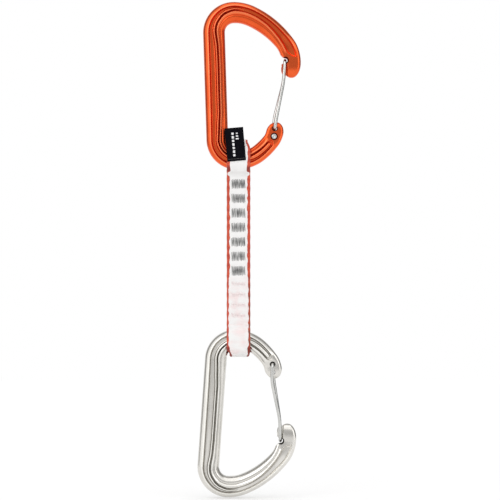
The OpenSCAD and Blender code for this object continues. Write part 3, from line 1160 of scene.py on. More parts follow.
@dataclass
class Carabiner:
    """A forged body and its wire gate."""

    label: str
    body: str
    gate: str
    body_node: str
    gate_node: str
    metal: bpy.types.Material
    # Near-black copy of the metal, painted shade on the walls of bores and pockets.
    recess_shade: bpy.types.Material
    wire: bpy.types.Material
    metal_slot: str
    place: Matrix
    bar: Bar = field(default_factory=Bar)
    pivot: Pair = (22.1, 8.0)
    foot: Pair = (22.6, 12.6)
    flex_from: tuple[float, float, float] = (22.7, -4.2, 14.2)
    flex_to: tuple[float, float, float] = (25.0, -3.9, 26.0)
    leg_parts_at: float = 27.0
    tail_t: float = 6.0
    wire_d: float = 1.9
    leg_y: float = 4.2
    end_y: float = 2.65
    end_x: float = 29.45
    end_z: float = 50.3
    step_x: float = 30.75
    step_top: float = 51.4
    tongue_t: float = 2.6
    tongue_at: Pair = (29.6, 45.2)
    tongue_half: Pair = (2.4, 3.3)
    # Across the tongue's thickness, how far its outline draws in.
    tongue_round: tuple[Pair, ...] = ((1.6, 0.75), (1.3, 0.42), (1.0, 0.18), (0.5, 0.03))
    nose_t: float = 7.8
    counterbore_d: float = 3.9
    counterbore_h: float = 1.2

    def coat(self, piece: bpy.types.Object, slot: int) -> None:
        """Gives a piece the forging's three slots, and all its faces one of them.

        Args:
            piece: The piece.
            slot: FORGED, the second slot for walls painted near-black as shade, or CUT.
        """
        for material in (self.metal, self.recess_shade, self.metal):
            piece.data.materials.append(material)
        piece.data.polygons.foreach_set("material_index", [slot] * len(piece.data.polygons))

    def cutter(self, solid: Solid, slot: int = CUT) -> bpy.types.Object:
        """A tool for shaping the forging, placed as the carabiner is.

        Args:
            solid: Its points and faces.
            slot: The slot that its faces leave on the forging.

        Returns:
            The tool.
        """
        tool = make_piece(f"{self.label}_cutter", *solid, self.place)
        self.coat(tool, slot)
        return tool

    def drilled(self, centre: Pair, profile: list[Pair]) -> bpy.types.Object:
        """A turned cutter along Y about a centre in the carabiner's plane; the walls it leaves are painted
        near-black as shade.
        """
        points, faces = lathe(profile)
        return self.cutter((points + np.array([centre[0], 0, centre[1]]), faces), SHADED)

    def extruded(
        self, outline: list[Pair], low: float, high: float, along_z: bool = False
    ) -> bpy.types.Object:
        """A straight cutter.

        Args:
            outline: Points in (x, z), or in (x, y) when the cutter runs along z.
            low: Where it starts.
            high: Where it ends.
            along_z: Whether it runs along z rather than y.

        Returns:
            The cutter.
        """
        flat = np.array(outline)
        rings = []
        for level in (low, high):
            column = np.full(len(flat), level)
            cells = (flat[:, 0], flat[:, 1], column) if along_z else (flat[:, 0], column, flat[:, 1])
            rings.append(np.stack(cells, axis=1))
        return self.cutter(capped_rings(np.array(rings)))

    @staticmethod
    def arc(centre: Pair, radius: float, turns: range) -> list[Pair]:
        """Points about a centre, at each angle in degrees."""
        angles = [math.radians(a) for a in turns]
        return [(centre[0] + radius * math.cos(a), centre[1] + radius * math.sin(a)) for a in angles]

    def notch_outline(self) -> list[Pair]:
        """Outline of the hook that takes the closed end of the wire, open to the inside.

        Returns:
            Points in (x, z).
        """
        hook = self.arc((self.end_x + 0.15, self.end_z - 0.05), 1.28, range(95, -96, -10))
        above = [(22, 59.2), (26.3, 54.6), (27.6, 52.9), (28.6, 51.9)]
        below = [(28.4, 48.75), (27.6, 48.2), (26.9, 47), (26.2, 45), (22, 44)]
        return above + hook + below

    def step_outline(self, side: int) -> list[Pair]:
        """Section of the step beside the tongue, filleted at its root and eased at its lip.

        Args:
            side: -1 for the front face, 1 for the back.

        Returns:
            Points in (x, y).
        """
        root, lip = 0.5, 0.35
        inner, outer = self.tongue_t / 2, self.nose_t / 2
        points = [(20.0, inner)]
        points += self.arc((self.step_x - root, inner + root), root, range(270, 361, 15))
        points += self.arc((self.step_x + lip, outer - lip - 0.05), lip, range(180, 89, -15))
        points += [(self.step_x + lip, outer + 1), (20.0, outer + 1)]
        return [(x, y * side) for x, y in points]

    def tongue(self) -> bpy.types.Object:
        """The rounded tongue of the nose that stands between the wire's two legs.

        Returns:
            The tongue, to be joined to the forging.
        """
        turns = np.linspace(0, 2 * math.pi, 48, endpoint=False)
        rings = []
        front = [(-y, inset) for y, inset in self.tongue_round]
        for y, inset in (*front, (0, 0), *self.tongue_round[::-1]):
            wide, tall = self.tongue_half[0] - inset, self.tongue_half[1] - inset
            xs = self.tongue_at[0] + wide * np.sign(np.cos(turns)) * np.abs(np.cos(turns)) ** 0.8
            zs = self.tongue_at[1] + tall * np.sign(np.sin(turns)) * np.abs(np.sin(turns)) ** 0.8
            rings.append(np.stack([xs, np.full(len(turns), y), zs], axis=1))
        return self.cutter(capped_rings(np.array(rings)))

    def cutters(self) -> list[bpy.types.Object]:
        """Every tool that shapes the forging's nose and tail.

        Returns:
            The tools, in the order they cut.
        """
        past = 8
        face = self.tail_t / 2
        outside = face + 2
        bore = self.counterbore_d / 2
        tongue = self.tongue_t / 2
        pocket = (self.end_x + 0.25, self.end_z + 0.05)
        step = (self.step_top - 16, self.step_top, True)
        nose = [
            self.extruded(self.notch_outline(), -past, past),
            self.drilled(pocket, [(1.95, -past), (1.95, -tongue - 0.3), (1.6, -tongue)]),
            self.drilled(pocket, [(1.6, tongue), (1.95, tongue + 0.3), (1.95, past)]),
            self.extruded(self.step_outline(1), *step),
            self.extruded(self.step_outline(-1), *step),
        ]
        pin_bore = [(bore + 0.12, -outside), (bore + 0.12, -face), (bore, -face + 0.12)]
        pin_bore.append((bore, -face + self.counterbore_h))
        foot_bore = [
            (1.75, -outside), (1.75, -face), (1.5, -face + 0.25), (1.5, -face + 1.3), (1.2, -face + 1.5),
            (1.2, face - 0.2), (1.45, face), (1.45, outside),
        ]  # fmt: skip
        tail = [
            self.drilled(self.pivot, pin_bore),
            self.drilled(self.pivot, [(1.45, face - 1), (1.45, face - 0.2), (1.65, face), (1.65, outside)]),
            self.drilled(self.foot, foot_bore),
            self.extruded(self.leg_slot(1.15), -outside, -face + 1.25),
            self.extruded(self.leg_slot(1.15 + 0.3), -outside, -face + 0.12),
        ]
        return nose + tail

    def leg_slot(self, half: float) -> list[Pair]:
        """Outline of the slot that lets the wire's leg out of its foot, by half its width."""
        x, z = self.foot
        return [(x - half, z), (x - half, z + 9), (x + half, z + 9), (x + half, z)]

    @staticmethod
    def combine(piece: bpy.types.Object, tool: bpy.types.Object, operation: str) -> None:
        """Joins a tool to a piece or cuts it away, then removes the tool.

        Args:
            piece: The piece.
            tool: The tool.
            operation: UNION or DIFFERENCE.
        """
        cut = piece.modifiers.new("cut", "BOOLEAN")
        cut.object = tool
        cut.operation = operation
        cut.solver = "MANIFOLD"
        with bpy.context.temp_override(object=piece, active_object=piece, selected_objects=[piece]):
            bpy.ops.object.modifier_apply(modifier=cut.name)
        bpy.data.objects.remove(tool)

    def build_body(self) -> bpy.types.Object:
        """The forging, cut to shape.

        Returns:
            The piece, which dress hangs on its body in place of its CAD node.
        """
        rings, painted_light = self.bar.rings()
        points, faces = capped_rings(rings)
        # The Relief map carries the masks of painted highlight and painted shade.
        piece = make_piece(f"{self.label}_forging", points, faces, self.place, painted_light, uv_map="Relief")
        self.coat(piece, FORGED)
        self.combine(piece, self.tongue(), "UNION")
        for tool in self.cutters():
            self.combine(piece, tool, "DIFFERENCE")
        self.crisp_cuts(piece.data)
        return piece

    @staticmethod
    def crisp_cuts(mesh: bpy.types.Mesh) -> None:
        """Smooth shading on the forging, with a crisp edge wherever a cut meets it or turns sharply.

        Args:
            mesh: The forging's mesh, its cuts in slots of their own.
        """
        soften(mesh, FORGED_ANGLE)
        shaped = bmesh.new()
        shaped.from_mesh(mesh)
        for edge in shaped.edges:
            slots = [face.material_index for face in edge.link_faces]
            turns = edge.calc_face_angle(0.0)
            if len(set(slots)) > 1 or (slots and min(slots) > FORGED and turns > math.radians(SMOOTH_ANGLE)):
                edge.smooth = False
        shaped.to_mesh(mesh)
        shaped.free()

    def wire_line(self) -> np.ndarray:
        """Centreline of the wire from inside its pivot foot round to its offset foot.

        Returns:
            Its points, evenly spaced.
        """
        px, pz = self.pivot
        fx, fz = self.foot
        route = [
            ((px, 1.2, pz), 0),
            ((px, self.leg_y, pz), 1.9),
            ((22.3, self.leg_y, 17.5), 3.5),
            ((28.2, self.end_y + 0.5, 38), 3.4),
            ((self.end_x - 0.25, self.end_y, 46.5), 1.0),
            ((self.end_x, self.end_y, self.end_z), self.end_y * 0.99),
            ((self.end_x, -self.end_y, self.end_z), self.end_y * 0.99),
            ((self.end_x - 0.25, -self.end_y, 46.5), 1.0),
            ((28.2, -self.end_y - 0.5, 38), 3.4),
            ((23.7, -self.leg_y, 18.5), 3.2),
            ((fx, -self.leg_y, fz), 1.9),
            ((fx, self.tail_t / 2 - 0.15, fz), 0),
        ]
        return resampled(rounded_route(route, 16), 0.45)

    def build_gate(self) -> list[bpy.types.Object]:
        """The wire in two pieces: the loop that swings, and the leg above the offset foot.

        Returns:
            The swinging piece and the leg.
        """
        line = self.wire_line()
        rings = swept_rings(line, self.wire_d / 2, 20, np.array([1.0, 0, 0]))
        cut = max(k for k in range(len(line)) if line[k][1] < 0 and line[k][2] > self.leg_parts_at)
        face = self.tail_t / 2
        pin = [
            (0.12, -face + 0.62), (0.3, -face + 0.5), (0.45, -face + 0.32), (0.8, -face + 0.18),
            (1.15, -face + 0.24), (1.5, -face + 0.42), (1.6, -face + 0.66), (1.6, -face + 1.0),
            (1.0, -face + 1.02), (1.0, 1.3), (0.8, 1.5),
        ]  # fmt: skip
        pin_points, pin_faces = lathe(pin)
        pin_solid = (pin_points + np.array([self.pivot[0], 0, self.pivot[1]]), pin_faces)
        swinging = joined([capped_rings(rings[: cut + 1]), pin_solid])
        swing = make_piece(f"{self.label}_wire_gate", *swinging, self.place, angle=60)
        leg = make_piece(f"{self.label}_gate_spring_leg", *capped_rings(rings[cut:]), self.place, angle=60)
        return [swing, leg]

    def at(self, point: tuple[float, float, float]) -> Vector:
        """A point of the carabiner's own frame, in the object's frame and in metres."""
        return self.place @ Vector(point) * MM

    def dress(self) -> None:
        """Builds the carabiner, gives its pieces their finish and hangs the forging and the swinging wire on
        their bodies.
        """
        forging = self.build_body()
        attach(forging, self.body)
        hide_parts(self.body_node)
        swing, leg = self.build_gate()
        for piece in (swing, leg):
            piece.data.materials.append(self.wire)
            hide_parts(self.gate_node)
        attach(swing, self.gate)
        self.at(self.flex_from)
        self.at(self.flex_to)
        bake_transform(leg)
        report(forging, swing, leg)


# ---------------------------------------------------------------- sling


@dataclass
class Sling:
    """The sewn sling: one tape round both bars, its two plies stitched together between them."""

    tape: bpy.types.Material
    grey: bpy.types.Material
    pale: bpy.types.Material
    x: float
    upper_joint: float
    lower_joint: float
    width: float = 13.2
    ply: float = 1.5
    bearing_t: float = 9.6
    bar_room: float = 0.6
    throat_drop: float = 8.4
    throat_r: float = 1.8
    top_rise: float = 11.85
    bottom_drop: float = 10.2
    top_inset: float = 1.2
    bottom_inset: float = 1.6
    ply_gap: float = 0.05
    tack_count: int = 7
    tack_pitch: float = 8.1
    tack_w: float = 7.8
    tack_h: float = 5.4
    grey_bite: float = 0.22
    grey_thread: float = 0.28
    grey_zigzag: float = 0.72
    pale_bite: float = 0.14
    pale_thread: float = 0.3
    pale_zigzag: float = 0.9
    tack_margin: float = 0.2
    tail_after_tacks: float = 1.4
    sewn_gap: float = 0.4
    pale_count: int = 4
    pale_h: float = 2.4
    scallop: float = 5.4
    bend_reach: float = 4.3

    def __post_init__(self) -> None:
        """Works out the heights of the two bars and of the seams."""
        self.top_bar = self.upper_joint + self.throat_drop + self.throat_r
        self.bottom_bar = self.lower_joint - self.throat_drop - self.throat_r
        tacked = self.tack_margin + self.tack_count * self.tack_pitch
        self.sewn_end = self.upper_joint - tacked + self.tail_after_tacks
        self.upper_seam = self.upper_joint - 0.3
        self.lower_seam = self.lower_joint + 0.3
        self.wrap = self.bearing_t / 2 + self.bar_room + self.ply / 2

    def loop_line(self, crown: float) -> np.ndarray:
        """Middle line of a loop's tape.

        Args:
            crown: Height of the crown over the bar's centre.

        Returns:
            Points (y, z) about the bar's centre, from the front of the throat over the crown to its back.
        """
        top = crown - self.ply / 2 - self.wrap
        near = self.ply / 2 + self.ply_gap
        side = [
            (near, -self.throat_drop - self.throat_r - 2), (near, -self.throat_drop - self.throat_r),
            (near, -self.throat_drop), (1.3, -self.throat_drop + 0.8), (2.6, -self.throat_drop + 1.9),
            (4.1, -5.6), (5.4, -3.9), (self.wrap, -1.2),
        ]  # fmt: skip
        arc = [(self.wrap * math.cos(a), top + self.wrap * math.sin(a)) for a in np.linspace(math.pi, 0, 19)]
        points = np.array([(-y, z) for y, z in side] + arc + side[::-1])
        return self.curved(points)

    @staticmethod
    def curved(points: np.ndarray) -> np.ndarray:
        """A smooth line through the points, sampled finely.

        Args:
            points: The points to pass through.

        Returns:
            Points of the line.
        """
        ends = np.concatenate([[2 * points[0] - points[1]], points, [2 * points[-1] - points[-2]]])
        line = []
        for k in range(1, len(ends) - 2):
            p0, p1, p2, p3 = ends[k - 1 : k + 3]
            square = 2 * p0 - 5 * p1 + 4 * p2 - p3
            cube = 3 * p1 - p0 - 3 * p2 + p3
            for t in np.linspace(0, 1, 8, endpoint=False):
                line.append(0.5 * (2 * p1 + (p2 - p0) * t + square * t**2 + cube * t**3))
        line.append(points[-1])
        return np.array(line)

    def pressed(self, x: float, z: float) -> float:
        """How far the stitches pull the tape's face in.

        Args:
            x: Place across the tape.
            z: Height of the place.

        Returns:
            The depth in millimetres.
        """
        depth = 0.0
        for centre, height, bite in self.tack_rows():
            depth = max(depth, bite * eased((height / 2 + 0.5 - abs(z - centre)) / 0.9))
        return depth * eased((self.tack_w / 2 + 0.7 - abs(x)) / 1.2)

    def tack_rows(self) -> list[tuple[float, float, float]]:
        """Every bar tack, grey ones first.

        Returns:
            Centre, height and bite of each.
        """
        first = self.upper_joint - self.tack_h / 2 - self.tack_margin
        grey = [(first - k * self.tack_pitch, self.tack_h, self.grey_bite) for k in range(self.tack_count)]
        start = self.sewn_end - self.sewn_gap
        pitch = (start - self.lower_joint) / self.pale_count
        pale = [(start - (k + 0.5) * pitch, self.pale_h, self.pale_bite) for k in range(self.pale_count)]
        return grey + pale

    def strip(
        self,
        name: str,
        line: np.ndarray,
        along: np.ndarray,
        insets: tuple[tuple[int, float, float, float], ...] = (),
    ) -> bpy.types.Object:
        """A closed strip of tape along a line.

        Args:
            name: The piece's name.
            line: Points (y, z) of the tape's middle.
            along: Distance down the tape at each point, for the weave.
            insets: Side (-1 the spine's), how much it narrows, and the heights between which it does.

        Returns:
            The piece.
        """
        half = self.width / 2
        spread = np.linspace(-1, 1, 27)
        spread = np.sign(spread) * (1 - (1 - np.abs(spread)) ** 1.25)
        rings, uv = [], []
        for k in range(len(line)):
            tangent = unit(line[min(k + 1, len(line) - 1)] - line[max(k - 1, 0)])
            normal = np.array([-tangent[1], tangent[0]])
            z = line[k][1]
            edges = {-1: half, 1: half}
            for side, amount, low, high in insets:
                edges[side] -= amount * eased((z - low) / (high - low))
            wave = 0.07 * math.sin(2 * math.pi * along[k] / self.scallop)
            left, right = -edges[-1] - wave, edges[1] + wave
            xs = (left + right) / 2 + spread * (right - left) / 2
            bulge = self.ply / 2 * (1 - np.abs(spread) ** 9) ** (1 / 2.2)
            sides = []
            for sign in (1, -1):
                on_face = sign * normal[0] * (1 if line[k][0] >= 0 else -1) > 0.9
                drop = np.array([self.pressed(float(x), float(z)) for x in xs]) if on_face else 0.0
                away = np.outer(sign * (bulge - drop), normal)
                sides.append(np.stack([self.x + xs, line[k][0] + away[:, 0], z + away[:, 1]], axis=1))
            rings.append(np.concatenate([sides[0], sides[1][::-1][1:-1]]))
            flat = (np.concatenate([spread, spread[::-1][1:-1]]) + 1) * half
            uv.append(np.stack([flat, np.full(len(flat), along[k])], axis=1))
        points, faces = capped_rings(np.array(rings))
        piece = make_piece(name, points, faces, uv=np.concatenate(uv), angle=65)
        piece.data.materials.append(self.tape)
        return piece

    def build_loops(self) -> None:
        """The two loops, each running a little way into the sewn middle."""
        top = resampled(self.loop_line(self.top_rise), LOOP_PITCH)
        top[:, 1] += self.top_bar
        top = self.ended(top[top[:, 1] >= self.upper_seam - 1e-6], self.upper_seam)
        crown = self.top_bar + self.top_rise
        insets = (
            (-1, self.top_inset, self.top_bar - 2, self.top_bar + 2), (1, 1.5, crown - 5.5, crown - 0.8),
        )  # fmt: skip
        piece = self.strip("top_loop_webbing", top, self.down_from_top(top), insets)
        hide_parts("top_loop_tape")
        self.bend_between(piece)
        bottom = resampled(self.loop_line(self.bottom_drop), LOOP_PITCH)
        bottom[:, 1] = self.bottom_bar - bottom[:, 1]
        bottom = self.ended(bottom[bottom[:, 1] <= self.lower_seam + 1e-6], self.lower_seam)[::-1]
        crown = self.bottom_bar - self.bottom_drop
        insets = (
            (-1, self.bottom_inset, crown + 4.6, crown + 1.6), (1, 0.7, crown + 3, crown + 0.5),
        )  # fmt: skip
        piece = self.strip("bottom_loop_webbing", bottom, self.down_from_top(bottom), insets)
        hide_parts("bottom_loop_tape")
        self.bend_between(piece)

    @staticmethod
    def ended(line: np.ndarray, seam: float) -> np.ndarray:
        """A loop's line carried straight on to its seam at both ends."""
        return np.concatenate([[[line[0][0], seam]], line, [[line[-1][0], seam]]])

    def down_from_top(self, line: np.ndarray) -> np.ndarray:
        """Distance down the tape from the top loop's crown, the same for front and back.

        Args:
            line: Points (y, z) of a loop, from one end of it to the other.

        Returns:
            The distance at each point.
        """
        run = np.concatenate([[0], np.cumsum(np.linalg.norm(np.diff(line, axis=0), axis=1))])
        from_end = np.minimum(run, run[-1] - run)
        up = line[0][1] > self.lower_seam + 5
        return -line[0][1] - from_end if up else -line[0][1] + from_end

    def build_plies(self) -> None:
        """The front and the back ply of the sewn middle."""
        heights = np.linspace(self.upper_seam, self.lower_seam, 130)
        near = self.ply / 2 + self.ply_gap
        for name, side, nodes in (
            ("front_webbing", -1, ("upper_front_ply", "lower_front_ply")),
            ("back_webbing", 1, ("upper_back_ply", "lower_back_ply")),
        ):
            line = np.stack([np.full(len(heights), side * near), heights], axis=1)
            piece = self.strip(name, line, -heights)
            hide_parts(*nodes)
            self.twist_between(piece)

    def stitch_rows(
        self,
        name: str,
        rows: list[tuple[float, float, float]],
        side: int,
        seed: int,
        thread: float,
        zigzag: float,
    ) -> bpy.types.Object:
        """Zigzag stitching of bar tacks on one face.

        Args:
            name: The piece's name.
            rows: Centre, height and bite of each tack.
            side: -1 for the front face, 1 for the back.
            seed: Seed of the stitches' small unevenness.
            thread: Thread diameter.
            zigzag: Width of one zig and zag.

        Returns:
            The piece.
        """
        dice = random.Random(seed)
        face = self.ply + self.ply_gap
        count = int(2 * self.tack_w / zigzag)
        strokes = []
        for centre, height, bite in rows:
            level = face - bite
            turns = [-self.tack_w / 2 + k * zigzag / 2 + dice.uniform(-0.11, 0.11) for k in range(count + 1)]
            for k, (first, second) in enumerate(zip(turns, turns[1:])):
                if k % 2:
                    first, second = second, first
                top = centre + height / 2 + dice.uniform(-0.5, 0.25)
                low = centre - height / 2 + dice.uniform(-0.25, 0.5)
                lift = thread * dice.uniform(0.25, 0.6)
                ends = self.x + first, self.x + second
                ease = lift * 0.6
                humps = ((0, -0.25), (0.05, ease), (0.3, lift), (0.7, lift), (0.95, ease), (1, -0.25))
                path = [
                    (ends[0] + (ends[1] - ends[0]) * share, side * (level + rise), top + (low - top) * share)
                    for share, rise in humps
                ]
                strokes.append((np.array(path), dice.random() ** 1.3))
        return stitching(name, strokes, thread / 2, 8, (1.0, 0, 0))

    def build_tacks(self) -> None:
        """The grey and the pale bar tacks on both faces."""
        grey_rows, pale_rows = self.tack_rows()[: self.tack_count], self.tack_rows()[self.tack_count :]
        for side, word in ((-1, "front"), (1, "back")):
            grey = self.stitch_rows(
                f"grey_tacks_{word}", grey_rows, side, 11 + side, self.grey_thread, self.grey_zigzag
            )
            grey.data.materials.append(self.grey)
            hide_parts("grey_bar_tacks")
            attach(grey, "upper_sling")
            pale = self.stitch_rows(
                f"pale_tacks_{word}", pale_rows, side, 23 + side, self.pale_thread, self.pale_zigzag
            )
            pale.data.materials.append(self.pale)
            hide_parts("pale_bar_tacks")
            self.twist_between(pale)

    def bend_between(
        self, piece: bpy.types.Object
    ) -> None:
        """Bakes a piece's placement into its mesh."""
        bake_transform(piece)

    def twist_between(self, piece: bpy.types.Object) -> None:
        """Bakes a piece's placement into its mesh, as bend_between does."""
        self.bend_between(piece)

    def dress(self) -> None:
        """Builds and reports the sling's pieces."""
        self.build_loops()
        self.build_plies()
        self.build_tacks()
        report(*(o for o in bpy.context.scene.objects if "webbing" in o.name or "tacks_" in o.name))


@dataclass
class Label:
    """The stiff woven tab sewn by its lower edge to the front of the top loop."""

    black: bpy.types.Material
    white: bpy.types.Material
    thread: bpy.types.Material
    foot: tuple[float, float, float]
    width: float = 10.4
    height: float = 18.6
    thick: float = 0.4
    lean: float = 5.0
    bow: float = 0.35
    stitches: int = 6
    seam: float = 1.2
    satin_pitch: float = 0.24

    def place(self) -> Matrix:
        """Where the label's own frame stands: x across, z up from its sewn edge."""
        return Matrix.Translation(self.foot) @ Matrix.Rotation(math.radians(-self.lean), 4, "Y")

    def face_y(self, x: float, z: float) -> float:
        """Front face of the label, gently bowed and turned in at its top."""
        share = z / self.height
        return -self.thick - self.bow * math.sin(math.pi * share) * 0.6 - 0.25 * (x / self.width) ** 2 * share

    def build_tab(self) -> bpy.types.Object:
        """The tab itself, a closed thin sheet with soft edges.

        Returns:
            The piece.
        """
        across = np.linspace(-self.width / 2, self.width / 2, 25)
        rings, uv = [], []
        for z in np.linspace(0, self.height, 45):
            edge = (1 - np.abs(across / (self.width / 2)) ** 16) * 0.5 + 0.5
            thins = self.thick * (1 - edge) / 2
            front = [(x, self.face_y(x, z) + t, z) for x, t in zip(across, thins)]
            back = [(x, self.face_y(x, z) + self.thick - t, z) for x, t in zip(across, thins)]
            rings.append(front + back[::-1])
            uv.append([(x + self.width, z) for x, _, _ in rings[-1]])
        points, faces = capped_rings(np.array(rings))
        return make_piece("label_tab", points, faces, self.place(), np.array(uv).reshape(-1, 2), 40)

    def across(self, x: float, z: float, humps: tuple[Pair, ...]) -> np.ndarray:
        """Path of a stitch that lies across the label, from each point's offset and lift."""
        return np.array([(x + offset, self.face_y(x, z) - lift, z) for offset, lift in humps])

    def build_marks(self) -> bpy.types.Object:
        """A plain dashed stripe with three small dashes beside it, in raised satin stitch.

        Returns:
            The piece.
        """
        stripe = [(-1.0, 3.3 + 2.0 * k, 1.1, 1.3 if k % 2 else 1.0) for k in range(7)]
        beside = [(1.4, 12.4 + 1.5 * k, 1.5 - 0.35 * k, 0.7) for k in range(3)]
        shape = ((-1, -0.06), (-0.8, 0.06), (0, 0.1), (0.8, 0.06), (1, -0.06))
        strokes = []
        for x, z, wide, tall in stripe + beside:
            humps = tuple((share * wide / 2, lift) for share, lift in shape)
            for level in np.arange(z - tall / 2, z + tall / 2, self.satin_pitch):
                strokes.append((self.across(x, level, humps), 0.8))
        return stitching("label_marks", strokes, 0.13, 6, (0, 0, 1.0), self.place())

    def build_seam(self) -> bpy.types.Object:
        """The row of stitches that holds the label's lower edge.

        Returns:
            The piece.
        """
        pitch = self.width / (self.stitches + 0.6)
        humps = ((-0.62, -0.1), (-0.5, 0.08), (0, 0.14), (0.5, 0.08), (0.62, -0.1))
        middles = [(k + 0.5 - self.stitches / 2) * pitch for k in range(self.stitches)]
        strokes = [(self.across(x, self.seam, humps), 0.5) for x in middles]
        return stitching("label_thread", strokes, 0.17, 8, (0, 0, 1.0), self.place())

    def dress(self) -> None:
        """Builds the label, its marks and its seam, and hangs them on the top loop."""
        tab, marks, seam = self.build_tab(), self.build_marks(), self.build_seam()
        for piece, material, slot in (
            (tab, self.black, "black_label"),
            (marks, self.white, "pale_thread"),
            (seam, self.thread, "grey_thread"),
        ):
            piece.data.materials.append(material)
            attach(piece, "top_loop")
        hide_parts("woven_label")
        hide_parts("label_stitches")
        report(tab, marks, seam)


# ---------------------------------------------------------------- studio


@dataclass
class Studio:
    """Pale floor, soft lights and the camera."""

    low: float
    middle: Pair = (0.00846, -0.1275)
    view_height: float = 0.28
    lens: float = 200.0
    sensor: float = 36.0
    room_light: float = 0.94
    dim_side: float = 0.85
    bright_side: float = 1.45
    floor_reach: float = 1.4
    floor_gap: float = 0.0006
    # Share of the way from straight behind the object round to straight in front, and its brightness.
    room: tuple[Pair, ...] = (
        (0.0, 0.75), (0.12, 0.5), (0.35, 0.18), (0.58, 0.3),
        (0.70, 0.85), (0.9, 0.95), (0.955, 0.5), (1.0, 0.42),
    )  # fmt: skip
    # Place, width and height, and power of each soft light.
    soft_lights: tuple[tuple[str, tuple[float, float, float], Pair, float], ...] = (
        ("key", (-0.55, -0.9, 0.35), (0.5, 0.8), 1.9),
        ("fill", (0.7, -0.8, 0.05), (0.3, 0.8), 0.8),
        ("top", (0.0, -0.1, 0.9), (0.9, 0.7), 1.6),
    )

    def floor(self) -> None:
        """A wide pale floor just under the object."""
        size = self.floor_reach
        z = self.low - self.floor_gap
        corners = [(-size, -size), (size, -size), (size, size), (-size, size)]
        mesh = bpy.data.meshes.new("floor")
        mesh.from_pydata([(x, y, z) for x, y in corners], [], [(0, 1, 2, 3)])
        floor = bpy.data.objects.new("floor", mesh)
        bpy.context.scene.collection.objects.link(floor)
        floor.data.materials.append(FloorFinish("pale floor", (0.93, 0.93, 0.93)).build())

    def soft_light(self, name: str, place: tuple[float, float, float], size: Pair, power: float) -> None:
        """A soft box aimed at the object's middle.

        Args:
            name: The light's name.
            place: Where it stands, in metres.
            size: Its width and height.
            power: Its power in watts.
        """
        data = bpy.data.lights.new(name, "AREA")
        data.shape = "RECTANGLE"
        data.size, data.size_y = size
        data.energy = power
        light = bpy.data.objects.new(name, data)
        light.location = place
        aim = Vector((self.middle[0], 0, self.middle[1])) - Vector(place)
        light.rotation_euler = aim.to_track_quat("-Z", "Y").to_euler()
        bpy.context.scene.collection.objects.link(light)

    def sky(self) -> None:
        """White behind the object, and for it to reflect a pale room with greyer walls at its sides."""
        world = bpy.data.worlds.new("studio")
        bpy.context.scene.world = world
        world.use_nodes = True
        shade = Shade(world.node_tree)
        world.node_tree.nodes.clear()
        seen = shade.node("ShaderNodeBackground", {"Color": WHITE, "Strength": 1.0}).outputs[0]
        lit = shade.node("ShaderNodeBackground", {"Color": WHITE, "Strength": self.room_light}).outputs[0]
        way = shade.node("ShaderNodeTexCoord").outputs["Generated"]
        split = shade.node("ShaderNodeSeparateXYZ", {"Vector": way}).outputs
        ring = shade.node("ShaderNodeValToRGB", {"Fac": shade.maths("MULTIPLY_ADD", split["Y"], -0.5, 0.5)})
        stops = ring.color_ramp.elements
        while len(stops) < len(self.room):
            stops.new(0.5)
        for stop, (place, level) in zip(stops, self.room):
            stop.position = place
            stop.color = (level, level, level, 1.0)
        lean = shade.maths("SUBTRACT", split["Z"], split["X"])
        tilt = shade.ramp(lean, -1.0, 1.0, self.dim_side, self.bright_side)
        walls = {"Color": WHITE, "Strength": shade.times(ring.outputs["Color"], tilt)}
        mirrored = shade.node("ShaderNodeBackground", walls).outputs[0]
        path = shade.node("ShaderNodeLightPath").outputs
        both = shade.node("ShaderNodeMixShader", {0: path["Is Glossy Ray"], 1: lit, 2: mirrored}).outputs[0]
        last = shade.node("ShaderNodeMixShader", {0: path["Is Camera Ray"], 1: both, 2: seen}).outputs[0]
        shade.node("ShaderNodeOutputWorld", {"Surface": last})

    def camera(self) -> None:
        """A long lens looking straight at the front."""
        data = bpy.data.cameras.new("camera")
        data.lens = self.lens
        data.sensor_width = self.sensor
        camera = bpy.data.objects.new("camera", data)
        distance = self.view_height / 2 / (self.sensor / 2 / self.lens)
        camera.location = (self.middle[0], -distance, self.middle[1])
        camera.rotation_euler = (math.pi / 2, 0, 0)
        bpy.context.scene.collection.objects.link(camera)
        bpy.context.scene.camera = camera

    def dress(self) -> None:
        """Sets up everything around the object."""
        self.floor()
        self.sky()
        for soft_light in self.soft_lights:
            self.soft_light(*soft_light)
        self.camera()
        bpy.context.scene.view_settings.view_transform = "Standard"


# ---------------------------------------------------------------- putting it together


def joint_place(name: str) -> Vector:
    """Where a joint of the frame stands, in millimetres."""
    found = next(j for j in frame["joints"] if j["name"] == name)
    return Vector(found["pos_m"]) / MM


def carabiner_place(hinge: str, lean: float, upside_down: bool, pivot: Pair) -> Matrix:
    """Where a carabiner's own frame stands.

    Args:
        hinge: Name of its gate's joint.
        lean: Turn about Y in degrees.
        upside_down: Whether it hangs basket down.
        pivot: The gate pivot in its own frame.

    Returns:
        The placement, in millimetres.
    """
    turned = Matrix.Rotation(math.radians(lean), 4, "Y")
    if upside_down:
        turned = turned @ Matrix.Rotation(math.pi, 4, "X")
    shift = joint_place(hinge) - turned @ Vector((pivot[0], 0, pivot[1]))
    return Matrix.Translation(shift) @ turned


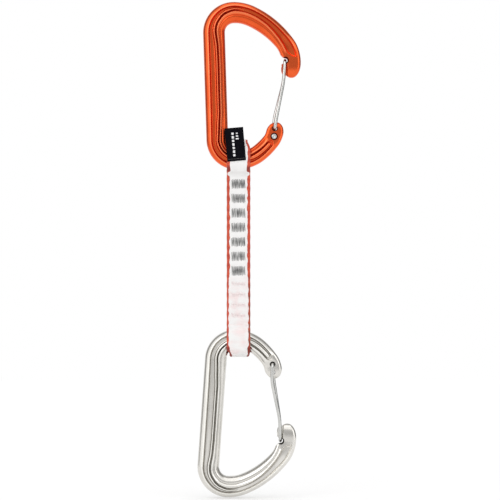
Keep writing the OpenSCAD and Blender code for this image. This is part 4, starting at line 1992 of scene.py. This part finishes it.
def main() -> None:
    """Builds the quickdraw around the frame."""
    logging.basicConfig(level=logging.INFO, format="%(name)s %(message)s")
    # Each metal's darkest colour is painted shade for its grooves, and its palest is a painted highlight for
    # its crests.
    orange = MetalFinish(
        "orange anodised", colour=(0.86, 0.13, 0.035), shadow=(0.78, 0.1, 0.025), groove_shade=(0.4, 0.018, 0.005),
        painted_light=(0.97, 0.3, 0.13), roughness=0.26, grain_depth=0.00001,
    ).build()  # fmt: skip
    silver = MetalFinish(
        "bare aluminium", colour=(0.74, 0.72, 0.68), shadow=(0.69, 0.67, 0.63), groove_shade=(0.26, 0.245, 0.22),
        painted_light=(0.97, 0.96, 0.92), roughness=0.2, grain_depth=0.000004,
    ).build()  # fmt: skip
    # Near-black copies of the two metals, painted shade on the walls of bores and pockets.
    orange_recess_shade = MetalFinish(
        "orange painted recess shade", colour=(0.16, 0.008, 0.003), shadow=(0.11, 0.005, 0.002),
        groove_shade=(0.05, 0.002, 0.001), painted_light=(0.2, 0.01, 0.004), roughness=0.5, grain_depth=0.00001,
    ).build()  # fmt: skip
    silver_recess_shade = MetalFinish(
        "aluminium painted recess shade", colour=(0.1, 0.095, 0.09), shadow=(0.07, 0.065, 0.06), groove_shade=(0.03, 0.03, 0.03),
        painted_light=(0.15, 0.15, 0.15), roughness=0.5, grain_depth=0.000004,
    ).build()  # fmt: skip
    steel = WireFinish("drawn steel", (0.64, 0.64, 0.62), 0.16).build()
    tape = TapeFinish(
        "white tape", centre=(0.93, 0.92, 0.91), tint=(0.93, 0.78, 0.77), selvedge=(0.7, 0.1, 0.04),
        selvedge_dark=(0.42, 0.035, 0.02), selvedge_dull=(0.2, 0.045, 0.02), width=Sling.width,
        wide_edge=1.65, narrow_edge=1.1, narrows_from=138.0, narrows_to=148.0, scallop_pitch=Sling.scallop,
    ).build()  # fmt: skip
    grey = ThreadFinish("grey thread", (0.5, 0.5, 0.49), (0.055, 0.057, 0.056)).build()
    dark = ThreadFinish("dark thread", (0.03, 0.03, 0.03), (0.01, 0.01, 0.01)).build()
    pale = ThreadFinish("pale thread", (0.93, 0.86, 0.85), (0.9, 0.76, 0.76)).build()
    white = ThreadFinish("white thread", (0.95, 0.95, 0.95), (0.8, 0.8, 0.8)).build()
    black = LabelFinish("black label", (0.003, 0.003, 0.005), (0.009, 0.009, 0.013)).build()

    for label, metal, recess_shade, slot, lean, upside_down in (
        ("top", orange, orange_recess_shade, "orange_anodised", -1.8, False),
        ("bottom", silver, silver_recess_shade, "silver_polished", 4.1, True),
    ):
        Carabiner(
            label, f"{label}_carabiner", f"{label}_gate", f"{label}_body", f"{label}_gate_wire",
            metal, recess_shade, steel, slot,
            carabiner_place(f"{label}_gate_hinge", lean, upside_down, Carabiner.pivot),
        ).dress()  # fmt: skip

    upper, lower = joint_place("upper_bend"), joint_place("lower_bend")
    sling = Sling(tape, grey, pale, upper.x, upper.z, lower.z)
    sling.dress()
    Label(black, white, dark, (upper.x - 1, -sling.wrap - sling.ply / 2, sling.top_bar - 0.4)).dress()
    Studio(CAD_BOX[0].z).dress()


if __name__ == "__main__":
    main()
